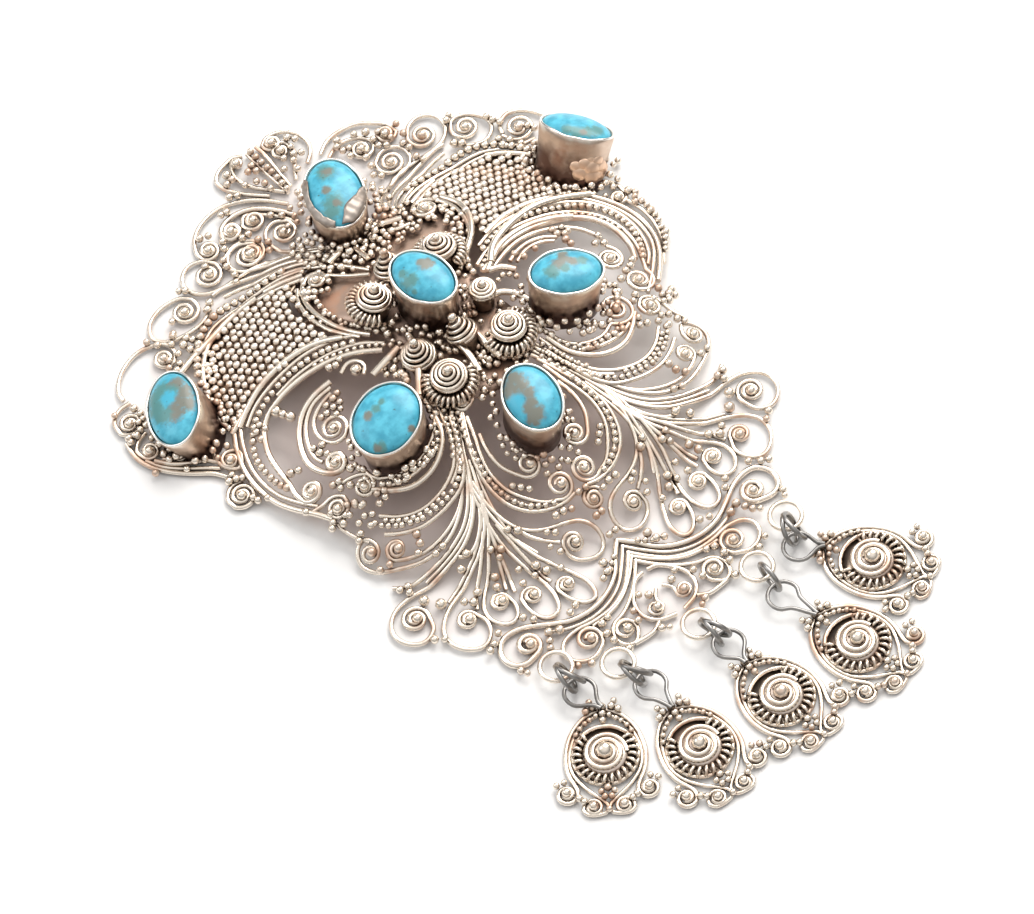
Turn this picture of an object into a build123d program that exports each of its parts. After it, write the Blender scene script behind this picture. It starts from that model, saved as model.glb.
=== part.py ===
"""A domed openwork brooch of silver wire with seven turquoise cabochons and five drops.

The brooch lies face up. X runs across it, Y runs from the drops to its crest, Z is up.
Lengths are millimetres. The tables give places in shares: 64ths of the plate's width
across and 80ths of its height along, counted from the foot of the middle axis.
"""
from build123d import *
import math
import os

# Driving sizes of the openwork plate
plate_width = 64.0
plate_height = 80.0
sheet = 0.9
relief = 0.5
dome_rise = 6.8
dome_reach = 27.0
dome_share_y = 12.0
loop_wire = 0.55
ball_size = 1.0
cone_tip_share = 0.4
field_row = 1.05
field_groove = 0.4
field_turn = -6

# Driving sizes of the stones and their bezel cups
bezel_wall = 0.4
bezel_root = 3.0
seat_gap = 0.15
seat_depth = 1.9
ledge = 0.7
stone_rise = 1.5
girdle_drop = 0.5

# Driving sizes of the rings, the bails and the drops
plate_ring_size = 4.0
plate_ring_wire = 0.55
jump_ring_size = 4.1
jump_ring_wire = 0.55
ring_play = 0.15
ring_rise = 0.45
bail_length = 5.0
bail_width = 3.9
bail_wire = 0.5
bail_foot_gap = 0.1
neck_post = 1.6
drop_length = 12.6
drop_width = 8.2
drop_sheet = 0.8
drop_relief = 0.4
drop_disc = 4.5
drop_ball = 1.5
drop_scroll = 2.1
coil_ring = 6.1
coil_wire = 0.8
grain = 0.95

# Driving sizes of the pin behind the plate
pin_span = 26.0
pin_wire = 1.1
pin_share_y = 28.0
pin_foot = 2.4
pin_gap = 0.3
pin_lift = 0.3

# Sizes that follow from the driving ones
share_x = plate_width / 64
share_y = plate_height / 80
cap_radius = (dome_reach ** 2 + dome_rise ** 2) / (2 * dome_rise)
dome_centre_y = dome_share_y * share_y
cap_centre_z = sheet + dome_rise - cap_radius
headroom = 20.0
past = 1.0
# The side on which a cone's face closes, away from the dome's own seam
cone_seam = (0.6, 0.8, 0.0)
tall = sheet + dome_rise + relief + headroom
across = plate_width + plate_height
ring_level = jump_ring_wire + ring_rise + plate_ring_wire / 2
plate_ring_reach = (plate_ring_size - plate_ring_wire) / 2
jump_ring_reach = (jump_ring_size - jump_ring_wire) / 2
bail_reach = (bail_width - bail_wire) / 2
drop_x = drop_width / 8
drop_y = drop_length / 12


def at(x, y):
    """A place in the tables' shares, as millimetres."""
    return (x * share_x, y * share_y)


def top_z(x, y, lift=0.0):
    """Height of the plate's upper face at a place in millimetres."""
    reach = math.hypot(x, y - dome_centre_y)
    flat = sheet + lift
    inside = (cap_radius + lift) ** 2 - reach ** 2
    if inside <= 0:
        return flat
    return max(flat, cap_centre_z + math.sqrt(inside))


def up_at(x, y, lean=1.0):
    """The direction square to the dome at a place, leant by a share of its slope."""
    reach = math.hypot(x, y - dome_centre_y)
    held = min(1.0, dome_reach / reach) if reach else 1.0
    side = Vector(x * held, (y - dome_centre_y) * held, 0)
    return (side * lean + Vector(0, 0, math.sqrt(cap_radius ** 2 - side.length ** 2))).normalized()


# Loops of the openwork, right half, each mirrored on the left.
# place, half width, half height, turn, the scroll inside it and the scroll's radius
LOOP_COLUMNS = ("x", "y", "wide", "high", "turn", "scroll_x", "scroll_y", "scroll_r")
LOOPS = [
    (14.9, 39.9, 2.4, 2.5, 0, 14.0, 40.2, 1.3),
    (19.8, 37.3, 2.2, 2.2, 0, 18.9, 38.0, 1.3),
    (9.7, 39.7, 1.9, 2.0, 0, 8.9, 39.7, 1.1),
    (24.3, 34.3, 2.3, 2.1, -30, 22.9, 34.2, 1.0),
    (22.7, -10.1, 2.5, 2.6, 0, 21.7, -10.1, 1.4),
    (18.6, -14.7, 3.1, 2.1, -65, 18.0, -13.2, 1.3),
    (14.4, -14.3, 2.6, 1.6, -70, 13.9, -13.6, 1.0),
    (10.4, -16.0, 3.2, 1.6, 82, 10.4, -14.6, 1.1),
    (6.6, -17.3, 2.9, 1.6, 68, 7.3, -16.4, 1.1),
    (3.0, -14.2, 2.4, 2.0, -15, 3.9, -13.8, 1.2),
    (15.1, -20.0, 2.6, 2.1, -10, 14.2, -20.3, 1.3),
    (9.9, -24.0, 2.7, 1.8, -8, 9.0, -23.7, 1.2),
    (5.7, -25.2, 1.8, 1.7, 0, 5.2, -25.4, 1.1),
    (22.6, -2.4, 1.3, 1.9, -20, 22.0, -1.6, 0.7),
]

# Plain gaps of the openwork, right half, each mirrored on the left
GAP_COLUMNS = ("x", "y", "long", "short", "turn")
GAPS = [
    (9.8, 4.9, 1.8, 0.7, -38),
    (12.0, -0.1, 2.1, 0.7, -14),
    (16.3, 0.4, 2.1, 0.8, 20),
    (14.2, -4.0, 2.5, 0.8, -12),
    (19.0, -4.2, 1.8, 0.6, 26),
    (16.2, -9.3, 2.9, 0.9, -8),
    (13.4, -11.0, 1.7, 0.6, -48),
    (7.1, -11.4, 2.2, 1.0, 60),
    (4.3, -17.6, 1.5, 0.6, -50),
    (8.7, -13.2, 1.8, 0.5, 78),
    (12.4, -12.7, 1.3, 0.5, -70),
    (12.8, -22.1, 0.9, 0.6, 0),
    (5.0, -22.7, 1.4, 0.5, -25),
    (5.4, -4.4, 2.5, 0.8, 72),
    (5.2, 1.8, 1.5, 0.5, 85),
    (19.4, 17.0, 1.7, 0.8, -48),
    (22.1, 13.2, 4.2, 0.7, 94),
    (15.6, 18.4, 2.6, 0.5, -4),
    (20.8, 9.9, 1.1, 0.6, 80),
    (13.6, 36.7, 3.3, 0.7, 10),
    (5.9, 36.2, 2.0, 0.7, 44),
    (25.4, 20.8, 1.1, 0.8, 0),
    (9.6, 44.6, 2.3, 0.9, -28),
    (17.4, -7.0, 2.4, 0.3, 3),
    (16.6, -16.9, 0.7, 0.5, 40),
]

# Gaps that stand on the left half alone or on the axis
LONE_GAPS = [
    (-28.0, 33.6, 3.3, 1.7, 28),
    (-19.6, 16.9, 2.6, 1.6, 45),
    (0.0, -6.7, 0.8, 0.6, 0),
    (0.0, -23.0, 1.7, 1.0, 0),
    (-4.0, 48.0, 1.3, 0.5, -60),
    (1.4, 48.0, 1.2, 0.5, 65),
    (-5.6, 50.7, 0.9, 0.6, 40),
    (2.4, 50.7, 0.9, 0.6, -40),
]

# The plate's outline: a row for each corner of its core, right half, top to foot
CORE_COLUMNS = ("x", "y")
CORE = [
    (4.0, 47.0), (11.5, 43.5), (13.5, 38.0), (19.0, 36.0), (24.0, 32.5), (28.2, 30.0),
    (28.4, 22.5), (28.0, 15.0), (25.6, 10.0), (23.0, 5.0), (21.8, 0.5), (21.2, -4.5),
    (21.5, -7.5), (18.5, -12.0), (15.0, -17.5), (12.5, -22.0), (9.0, -26.2), (3.0, -26.5),
]

# Round lobes that the outline gains: crest, wing tips and the left wing's scrolls
LOBE_COLUMNS = ("x", "y", "r")
LOBES = [
    (-4.2, 49.5, 3.0), (1.4, 49.4, 2.9), (-9.8, 43.3, 4.3), (8.6, 43.3, 4.0),
    (-32.4, 29.2, 1.9), (-32.9, 25.4, 1.8), (-30.6, 22.8, 2.0), (-28.2, 13.8, 1.8),
    (-28.4, 33.6, 4.0), (-29.4, 27.4, 3.2), (27.6, 13.8, 1.4), (0.0, -24.6, 3.2),
    (15.4, -22.8, 0.9),
]

# The stones: foot of each bezel, its height, the stone's length and width, the turn of
# its long side from X, and how far it leans with the dome
STONE_COLUMNS = ("name", "x", "y", "height", "long", "short", "turn", "lean")
STONES = [
    ("stone_top", 0.3, 36.0, 5.6, 8.8, 6.0, 70, 0.0),
    ("stone_middle", -0.1, 17.7, 5.6, 7.5, 5.2, 103, 0.0),
    ("stone_low", 0.3, -0.5, 5.3, 7.5, 5.5, 83, 0.7),
    ("stone_right_wing", 24.8, 26.3, 5.0, 7.7, 5.4, 122, 1.3),
    ("stone_left_wing", -27.3, 25.6, 4.2, 8.8, 5.6, 66, 0.7),
    ("stone_right_side", 11.9, 9.3, 5.3, 7.5, 5.3, 158, 0.7),
    ("stone_left_side", -12.3, 7.3, 4.4, 8.0, 6.7, 25, 0.7),
]

# Spiral cones round the middle stone: place, foot radius, height, and a coil ring or none
CONE_COLUMNS = ("x", "y", "foot", "height", "coil")
CONES = [
    (4.6, 22.1, 1.9, 3.2, 2.5), (-4.9, 21.5, 1.9, 3.2, 2.5),
    (4.2, 8.8, 1.9, 3.4, 2.5), (-4.2, 7.8, 1.9, 3.4, 2.5),
    (4.7, 14.1, 1.5, 3.0, 0), (-4.8, 12.8, 1.5, 3.0, 0),
    (-0.3, 24.9, 1.4, 2.2, 0), (0.0, 11.7, 1.6, 3.2, 0),
]

# Sunk floors of the relief, right half: petals round the cones and the fans' necks
PANEL_COLUMNS = ("x", "y", "long", "short", "turn")
PANELS = [
    (7.2, 24.6, 4.6, 1.9, 72),
    (8.0, 13.0, 2.6, 1.0, 60),
    (9.4, -3.4, 3.4, 0.3, -62),
    (7.4, -3.0, 4.2, 0.35, 80),
    (24.2, 13.0, 6.0, 0.4, 96),
    (8.2, -20.3, 4.2, 0.35, -6),
]

# The granule field's corners and the middle of each side, right half
FIELD = [(8.2, 31.2), (14.5, 33.9), (20.6, 31.4), (23.4, 27.2), (24.0, 22.4), (17.0, 23.0),
         (10.2, 22.2), (11.2, 27.0)]

# Where the rings of the lower edge are soldered on, left to right. Each hangs straight down.
PLATE_RINGS = [(-14.4, -22.3), (-9.1, -26.1), (0.3, -27.7), (9.3, -26.1), (15.5, -23.1)]

# The drops, left to right. The jump ring pulls down from the plate ring at its own turn
# from -Y and with its own slack, then come the bail's turn and length, as a share of
# bail_length, the drop's turn, and the jump ring's lean from upright.
DROP_COLUMNS = ("pull_turn", "slack", "bail_turn", "bail_share", "turn", "lean")
DROPS = [
    (2, 0.0, 13, 0.97, -33, 26),
    (14, 0.35, 3, 1.08, -5, 30),
    (14, 0.0, 2, 0.95, 6, 12),
    (0, 0.5, 19, 1.22, 15, 5),
    (-18, 0.0, 56, 0.94, 33, 26),
]

# A drop's tables are in 8ths of its width and 12ths of its length, from its disc.
# The corners of its core, right half, neck to foot
DROP_CORE = [(0.5, 5.4), (2.6, 3.0), (3.9, -1.0), (3.0, -4.6), (1.2, -6.4)]
# Its widest part: place on the axis, half width and half length
DROP_BELLY = (-0.4, 3.95, 4.4)
# Its gaps, right half, in the columns of GAP_COLUMNS
DROP_GAPS = [(2.9, -3.5, 0.9, 0.45, 70), (1.7, -5.0, 0.7, 0.4, -60)]
# The scrolls along its foot, right half: place and size, as a share of drop_scroll
DROP_SCROLLS = [(3.35, -4.0, 1.0), (1.1, -5.9, 0.95)]
# The grains at its neck and under its coil ring
DROP_GRAINS = [(0.0, 5.3), (0.85, 4.7), (-0.85, 4.7), (0.0, -3.9), (0.5, -4.6), (-0.5, -4.6)]
# The place on its axis where its bail is soldered
DROP_NECK = 5.0


def rows(columns, table):
    """The rows of a table as dictionaries."""
    return [dict(zip(columns, row)) for row in table]


def stretched(long, short, turn):
    """The half axes and the turn, in millimetres, of an oval that is given in shares."""
    c, s = math.cos(math.radians(turn)), math.sin(math.radians(turn))
    even = ((long * share_x + short * share_y) * c / 2, (long * share_y + short * share_x) * s / 2)
    odd = ((long * share_x - short * share_y) * c / 2, (long * share_y - short * share_x) * s / 2)
    middle, spread = math.hypot(*even), math.hypot(*odd)
    turned = math.atan2(even[1], even[0]) + math.atan2(odd[1], odd[0])
    return middle + spread, abs(middle - spread), math.degrees(turned / 2)


def oval(x, y, long, short, turn, wider=0.0):
    """A flat oval at a place in the tables' shares, wider by some millimetres."""
    px, py = at(x, y)
    half_long, half_short, turned = stretched(long, short, turn)
    return Pos(px, py) * Rot(0, 0, turned) * Ellipse(half_long + wider, half_short + wider)


def both(face):
    """A face and its mirror across the middle axis."""
    return [face, mirror(face, about=Plane.YZ)]


def joined(faces):
    """One sketch of many faces."""
    return Sketch() + faces


def prism(face, low=-past):
    """A flat face drawn out upwards, past everything that stands on the plate."""
    return extrude(Pos(0, 0, low) * face, tall - low)


def shell(lift):
    """The domed sheet with its flat rim, thickened upwards by a lift."""
    slab = Pos(0, dome_centre_y, 0) * Cylinder(across, sheet + lift, align=(Align.CENTER, Align.CENTER, Align.MIN))
    dome = Pos(0, dome_centre_y, cap_centre_z) * Sphere(cap_radius + lift)
    hollow = Pos(0, dome_centre_y, cap_centre_z) * Sphere(cap_radius - sheet)
    above = Pos(0, dome_centre_y, 0) * Cylinder(across, tall, align=(Align.CENTER, Align.CENTER, Align.MIN))
    return slab + (dome & above) - hollow


def outline():
    """The plate's outline: its core, its lobes and the rims of its outer loops."""
    right = [at(x, y) for x, y in CORE]
    left = [(-x, y) for x, y in reversed(right)]
    core = make_face(Polyline(*right, *left, close=True))
    faces = [core]
    for lobe in rows(LOBE_COLUMNS, LOBES):
        faces.append(oval(lobe["x"], lobe["y"], lobe["r"], lobe["r"], 0))
    for loop in rows(LOOP_COLUMNS, LOOPS):
        rim = oval(loop["x"], loop["y"], loop["wide"], loop["high"], loop["turn"], wider=loop_wire)
        faces += both(rim)
    return joined(faces)


def stem(loop):
    """The short wire that runs from a loop's scroll to its rim."""
    x, y = at(loop["x"], loop["y"])
    inner_x, inner_y = at(loop["scroll_x"], loop["scroll_y"])
    turn = math.degrees(math.atan2(inner_y - y, inner_x - x))
    length = loop["wide"] * max(share_x, share_y)
    return Pos(inner_x, inner_y) * Rot(0, 0, turn) * Pos(length / 2, 0) * Rectangle(length, loop_wire)


def gaps():
    """All the openings of the openwork."""
    faces = []
    for loop in rows(LOOP_COLUMNS, LOOPS):
        hole = oval(loop["x"], loop["y"], loop["wide"], loop["high"], loop["turn"])
        scroll = oval(loop["scroll_x"], loop["scroll_y"], loop["scroll_r"], loop["scroll_r"], 0)
        faces += both(hole - scroll - stem(loop))
    for gap in rows(GAP_COLUMNS, GAPS):
        faces += both(oval(**gap))
    for gap in rows(GAP_COLUMNS, LONE_GAPS):
        faces.append(oval(**gap))
    return faces


def field():
    """The outline of the right granule field, four arcs."""
    p = [at(x, y) for x, y in FIELD]
    arcs = [ThreePointArc(p[i], p[i + 1], p[(i + 2) % 8]) for i in (0, 2, 4, 6)]
    return make_face(arcs)


def panels():
    """The sunk floors of the relief, with the grooves between the granule rows."""
    faces = []
    for panel in rows(PANEL_COLUMNS, PANELS):
        faces += both(oval(**panel))
    ground = field()
    middle = ground.center()
    pitch = field_row * share_y
    count = math.ceil(ground.bounding_box().size.Y / pitch / 2)
    for step in range(-count, count + 1):
        strip = Rectangle(plate_width / 2, field_groove)
        placed = Pos(middle.X, middle.Y) * Rot(0, 0, field_turn) * Pos(0, step * pitch) * strip
        groove = ground & placed
        for face in groove.faces():
            faces += both(face)
    return faces


def seat_plane(stone):
    """The plane that a bezel stands on, its X along the stone."""
    x, y = at(stone["x"], stone["y"])
    up = up_at(x, y, stone["lean"])
    along = Vector(math.cos(math.radians(stone["turn"])), math.sin(math.radians(stone["turn"])), 0)
    along = (along - up * along.dot(up)).normalized()
    return Plane(origin=(x, y, top_z(x, y)), x_dir=along, z_dir=up)


def oval_post(stone, wider, low, high):
    """An oval post in a bezel's plane, a given amount wider than its stone."""
    flat = Ellipse(stone["long"] / 2 + wider, stone["short"] / 2 + wider)
    return seat_plane(stone) * extrude(Pos(0, 0, low) * flat, high - low)


def bezel(stone):
    """A plain tall bezel cup with a ledge for its stone."""
    seat = stone["height"] - seat_depth
    wall = oval_post(stone, seat_gap + bezel_wall, -sheet - bezel_root, stone["height"])
    wall -= oval_post(stone, seat_gap, seat, stone["height"] + past)
    wall -= oval_post(stone, -ledge, 0.0, stone["height"] + past)
    return wall


def cabochon(stone):
    """A cabochon: a round stone with an upright girdle and a low dome, stretched oval."""
    seat = stone["height"] - seat_depth + seat_gap
    girdle = stone["height"] - girdle_drop
    base = (Align.CENTER, Align.CENTER, Align.MIN)
    body = Cylinder(1, girdle - seat, align=base)
    half_ball = Sphere(1) & Box(2, 2, 2, align=base)
    body += Pos(0, 0, girdle - seat) * scale(half_ball, by=(1, 1, stone_rise))
    body = scale(body, by=(stone["long"] / 2, stone["short"] / 2, 1))
    return seat_plane(stone) * Pos(0, 0, seat) * body


def cone(row):
    """A spiral cone with a ball on its tip, and a coil ring round the large ones."""
    x, y = at(row["x"], row["y"])
    up = up_at(x, y)
    stand = Plane(origin=(x, y, top_z(x, y) - sheet / 2), x_dir=cone_seam, z_dir=up)
    height = row["height"] + sheet / 2
    tip = row["foot"] * cone_tip_share
    body = Cone(row["foot"], tip, height, align=(Align.CENTER, Align.CENTER, Align.MIN))
    body += Pos(0, 0, height) * Sphere(ball_size / 2)
    if row["coil"]:
        body += Pos(0, 0, sheet / 2 + coil_wire / 2) * Torus(row["coil"], coil_wire / 2)
    return stand * body


def disc_post(radius, height, x=0.0, y=0.0, z=0.0):
    """A round upright post."""
    return Pos(x, y, z) * Cylinder(radius, height, align=(Align.CENTER, Align.CENTER, Align.MIN))


def ring_middle(index):
    """The middle of a ring on the lower edge, in millimetres."""
    x, y = at(*PLATE_RINGS[index])
    return x, y - plate_ring_reach


def plate():
    """The whole soldered openwork with its bezels, cones and edge rings."""
    dome_place = Pos(0, dome_centre_y, cap_centre_z)
    hollow = dome_place * Sphere(cap_radius - sheet)
    stones = rows(STONE_COLUMNS, STONES)
    body = shell(relief) & prism(outline())
    cutters = [prism(face) for face in gaps()]
    body -= cutters
    floor = dome_place * Sphere(cap_radius) + disc_post(across, sheet, 0, dome_centre_y)
    sinks = (Part() + [prism(face, low=sheet / 2) for face in panels()]) - floor
    sockets = [oval_post(stone, -ledge, 0.0, tall) for stone in stones]
    body -= sinks.solids() + sockets
    pieces = []
    above = disc_post(across, tall)
    for stone in stones:
        pieces.append((bezel(stone) & above) - hollow)
    pieces += [cone(row) for row in rows(CONE_COLUMNS, CONES)]
    for index in range(len(PLATE_RINGS)):
        x, y = ring_middle(index)
        pieces.append(Pos(x, y, ring_level) * Torus(plate_ring_reach, plate_ring_wire / 2))
    return body + pieces


def hang(index):
    """Where one drop's chain lies: the plate ring, the bail's round end and the neck."""
    row = rows(DROP_COLUMNS, DROPS)[index]
    start = Vector(*ring_middle(index), 0)
    step = plate_ring_reach + bail_reach + (plate_ring_wire + bail_wire) / 2 + ring_play + row["slack"]
    pull = math.radians(row["pull_turn"])
    down = Vector(math.sin(pull), -math.cos(pull), 0)
    round_end = start + down * step
    swing = math.radians(row["bail_turn"])
    length = bail_length * row["bail_share"] - bail_width / 2
    neck = round_end + Vector(math.sin(swing), -math.cos(swing), 0) * length
    middle = start + down * (plate_ring_reach + step - bail_reach) / 2
    return {"start": start, "round_end": round_end, "neck": neck, "middle": middle,
            "length": length, **row}


def jump_ring(index):
    """A plain dark ring that leans across the plate ring and the bail."""
    chain = hang(index)
    lean = math.radians(chain["lean"])
    height = jump_ring_reach * math.cos(lean) + jump_ring_wire / 2
    stand = Pos(chain["middle"].X, chain["middle"].Y, height) * Rot(0, 0, chain["pull_turn"])
    return stand * Rot(0, 90 - chain["lean"], 0) * Torus(jump_ring_reach, jump_ring_wire / 2)


def bail(chain):
    """A wire loop that is round at its far end and narrows to the drop's neck."""
    foot = Vector((bail_wire + bail_foot_gap) / 2, -chain["length"], 0)
    turn = math.degrees(math.atan2(foot.Y, foot.X)) + math.degrees(math.acos(bail_reach / foot.length))
    touch = Vector(bail_reach, 0, 0).rotate(Axis.Z, turn)
    left_foot = Vector(-foot.X, foot.Y, 0)
    left_touch = Vector(-touch.X, touch.Y, 0)
    over = ThreePointArc(left_touch, Vector(0, bail_reach, 0), touch)
    path = Wire([Line(left_foot, left_touch), over, Line(touch, foot)])
    start = Plane(origin=path @ 0, z_dir=path % 0)
    loop = sweep(start * Circle(bail_wire / 2), path=path)
    place = Pos(chain["round_end"].X, chain["round_end"].Y, ring_level)
    return place * Rot(0, 0, chain["bail_turn"]) * loop


def drop_body():
    """A filigree drop, its disc at the origin and its neck along Y."""
    right = [(x * drop_x, y * drop_y) for x, y in DROP_CORE]
    left = [(-x, y) for x, y in reversed(right)]
    core = make_face(Polyline(*right, *left, close=True))
    belly_y, belly_wide, belly_long = DROP_BELLY
    belly = Pos(0, belly_y * drop_y) * Ellipse(belly_wide * drop_x, belly_long * drop_y)
    openings = []
    for x, y, long, short, turn in DROP_GAPS:
        openings += both(Pos(x * drop_x, y * drop_y) * Rot(0, 0, turn) * Ellipse(long * drop_x, short * drop_x))
    body = extrude(core + belly - openings, drop_sheet)
    pieces = [disc_post(drop_disc / 2, drop_sheet + drop_relief)]
    pieces.append(disc_post(neck_post / 2, ring_level, 0, DROP_NECK * drop_y))
    pieces.append(Pos(0, 0, drop_sheet + drop_relief + drop_ball / 4) * Sphere(drop_ball / 2))
    pieces.append(Pos(0, 0, drop_sheet) * Torus(coil_ring / 2, coil_wire / 2))
    for x, y, size in DROP_SCROLLS:
        for side in (-1, 1):
            px, py = side * x * drop_x, y * drop_y
            pieces.append(disc_post(size * drop_scroll / 2, drop_sheet + drop_relief, px, py))
            pieces.append(Pos(px, py, drop_sheet + drop_relief) * Sphere(grain / 2))
    for x, y in DROP_GRAINS:
        pieces.append(Pos(x * drop_x, y * drop_y, drop_sheet + grain / 4) * Sphere(grain / 2))
    return body + pieces


def drop(index, body):
    """A drop with its soldered bail, where it lies."""
    chain = hang(index)
    up = math.radians(chain["turn"])
    neck_reach = DROP_NECK * drop_y
    x = chain["neck"].X + math.sin(up) * neck_reach
    y = chain["neck"].Y - math.cos(up) * neck_reach
    return Pos(x, y, 0) * Rot(0, 0, chain["turn"]) * body + bail(chain)


def back_pin():
    """The pin behind the plate: a straight wire between two feet, one plain piece."""
    y = pin_share_y * share_y
    half = pin_span / 2
    under = Pos(0, dome_centre_y, cap_centre_z) * Sphere(cap_radius - sheet - pin_gap)
    level = pin_lift + pin_wire / 2
    stem_wire = Pos(0, y, level) * Rot(0, 90, 0) * Cylinder(pin_wire / 2, pin_span)
    base = (Align.CENTER, Align.CENTER, Align.MIN)
    feet = [Pos(side * half, y, pin_lift) * Box(pin_foot, pin_foot, tall, align=base) & under for side in (-1, 1)]
    return stem_wire + feet


def save(shape, name, shift):
    """Writes one piece to its own file."""
    export_step(shift * shape, "parts/" + name + ".step")


def main():
    os.makedirs("parts", exist_ok=True)
    pieces = {"plate": plate(), "back_pin": back_pin()}
    for stone in rows(STONE_COLUMNS, STONES):
        pieces[stone["name"]] = cabochon(stone)
    body = drop_body()
    for index in range(len(DROPS)):
        pieces["jump_ring_" + str(index + 1)] = jump_ring(index)
        pieces["drop_" + str(index + 1)] = drop(index, body)
    box = Compound(list(pieces.values())).bounding_box()
    shift = Pos(-(box.min.X + box.max.X) / 2, -(box.min.Y + box.max.Y) / 2, -box.min.Z)
    for name, shape in pieces.items():
        save(shape, name, shift)


if __name__ == "__main__":
    main()
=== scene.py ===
"""The looks of a domed filigree brooch: wires, granules, cones, cups, stones and drops.

Places are charted in millimetres from the brooch's middle axis, as they look from the
camera, and spot() sets each back along the line of sight to the height it has.
"""
import math
import random

import bmesh
import bpy
from mathutils import Matrix, Vector
from mathutils.geometry import interpolate_bezier
from mathutils.kdtree import KDTree


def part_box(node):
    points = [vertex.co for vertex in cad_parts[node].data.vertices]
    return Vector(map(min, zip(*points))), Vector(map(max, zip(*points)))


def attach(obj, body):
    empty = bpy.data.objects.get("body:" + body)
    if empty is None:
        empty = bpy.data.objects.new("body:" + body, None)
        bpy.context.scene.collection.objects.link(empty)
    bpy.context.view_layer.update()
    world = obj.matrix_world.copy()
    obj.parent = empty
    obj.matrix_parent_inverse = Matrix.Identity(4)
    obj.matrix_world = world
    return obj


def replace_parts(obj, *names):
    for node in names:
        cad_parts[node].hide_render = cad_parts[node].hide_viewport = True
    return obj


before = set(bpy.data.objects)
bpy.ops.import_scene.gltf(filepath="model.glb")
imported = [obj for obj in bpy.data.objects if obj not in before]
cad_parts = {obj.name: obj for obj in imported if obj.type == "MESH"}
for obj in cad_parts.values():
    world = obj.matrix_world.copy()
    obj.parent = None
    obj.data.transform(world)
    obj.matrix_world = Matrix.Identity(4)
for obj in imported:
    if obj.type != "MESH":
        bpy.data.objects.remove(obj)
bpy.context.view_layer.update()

# A millimetre in metres, then the frame's own sizes in millimetres
MM = 0.001
SHEET = 0.9
DOME_RISE = 6.8
DOME_REACH = 27.0
DOME_Y = 12.0
PIN_Y = 28.0
CAP = (DOME_REACH ** 2 + DOME_RISE ** 2) / (2 * DOME_RISE)
pin_low, pin_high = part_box("back_pin")
AXIS = Vector(((pin_low.x + pin_high.x) / 2, (pin_low.y + pin_high.y) / 2 - PIN_Y * MM, 0.0))
TO_FRAME = Matrix.Translation(AXIS) @ Matrix.Scale(MM, 4)

# How the chart was seen: its height over the sheet, and how far sight runs sideways per millimetre
CHART_HEIGHT = 0.65
SIGHT = (0.29, 0.55)

# Heights over the sheet's upper face, and the wires' and granules' sizes
WIRE_LEVEL = -0.4
TOP_LEVEL = -0.1
GRAIN_LEVEL = 0.05
WIRE = 0.54
THIN = 0.46
THICK = 0.7
GRAIN_GROW = 1.1
ROW_SPREAD = (0.93, 1.07)

# How far apart the points of smooth lines lie
LINE_STEP = 0.45
WALK_STEP = 0.2
DROP_STEP = 0.4

# A coil starts at its wire's end and winds up to a granule in its middle
RAISED = 0.3
COIL_INNER = 0.42
COIL_CROWD = 0.8
COIL_STEP = 0.35
EYE_RISE = 0.35
EYE_GRAIN = 1.12

# Granules are joined in batches, each granule a ball of few faces
BATCH = 40
GRAIN_SIDES = 8
GRAIN_RINGS = 6

# The coil at the plate's foot: where it starts, its middle and its turns
FOOT_START = (1.6, -11.3)
FOOT_COIL = (0.3, -11.3)
FOOT_TURNS = 1.8
FOOT_LEVEL = 0.2
FOOT_GRAIN = 1.0

# A granule looser than this is brought up to the nearest metal, and one that is lost is left out
LOOSE = 0.08
LOST = 1.3

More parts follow.
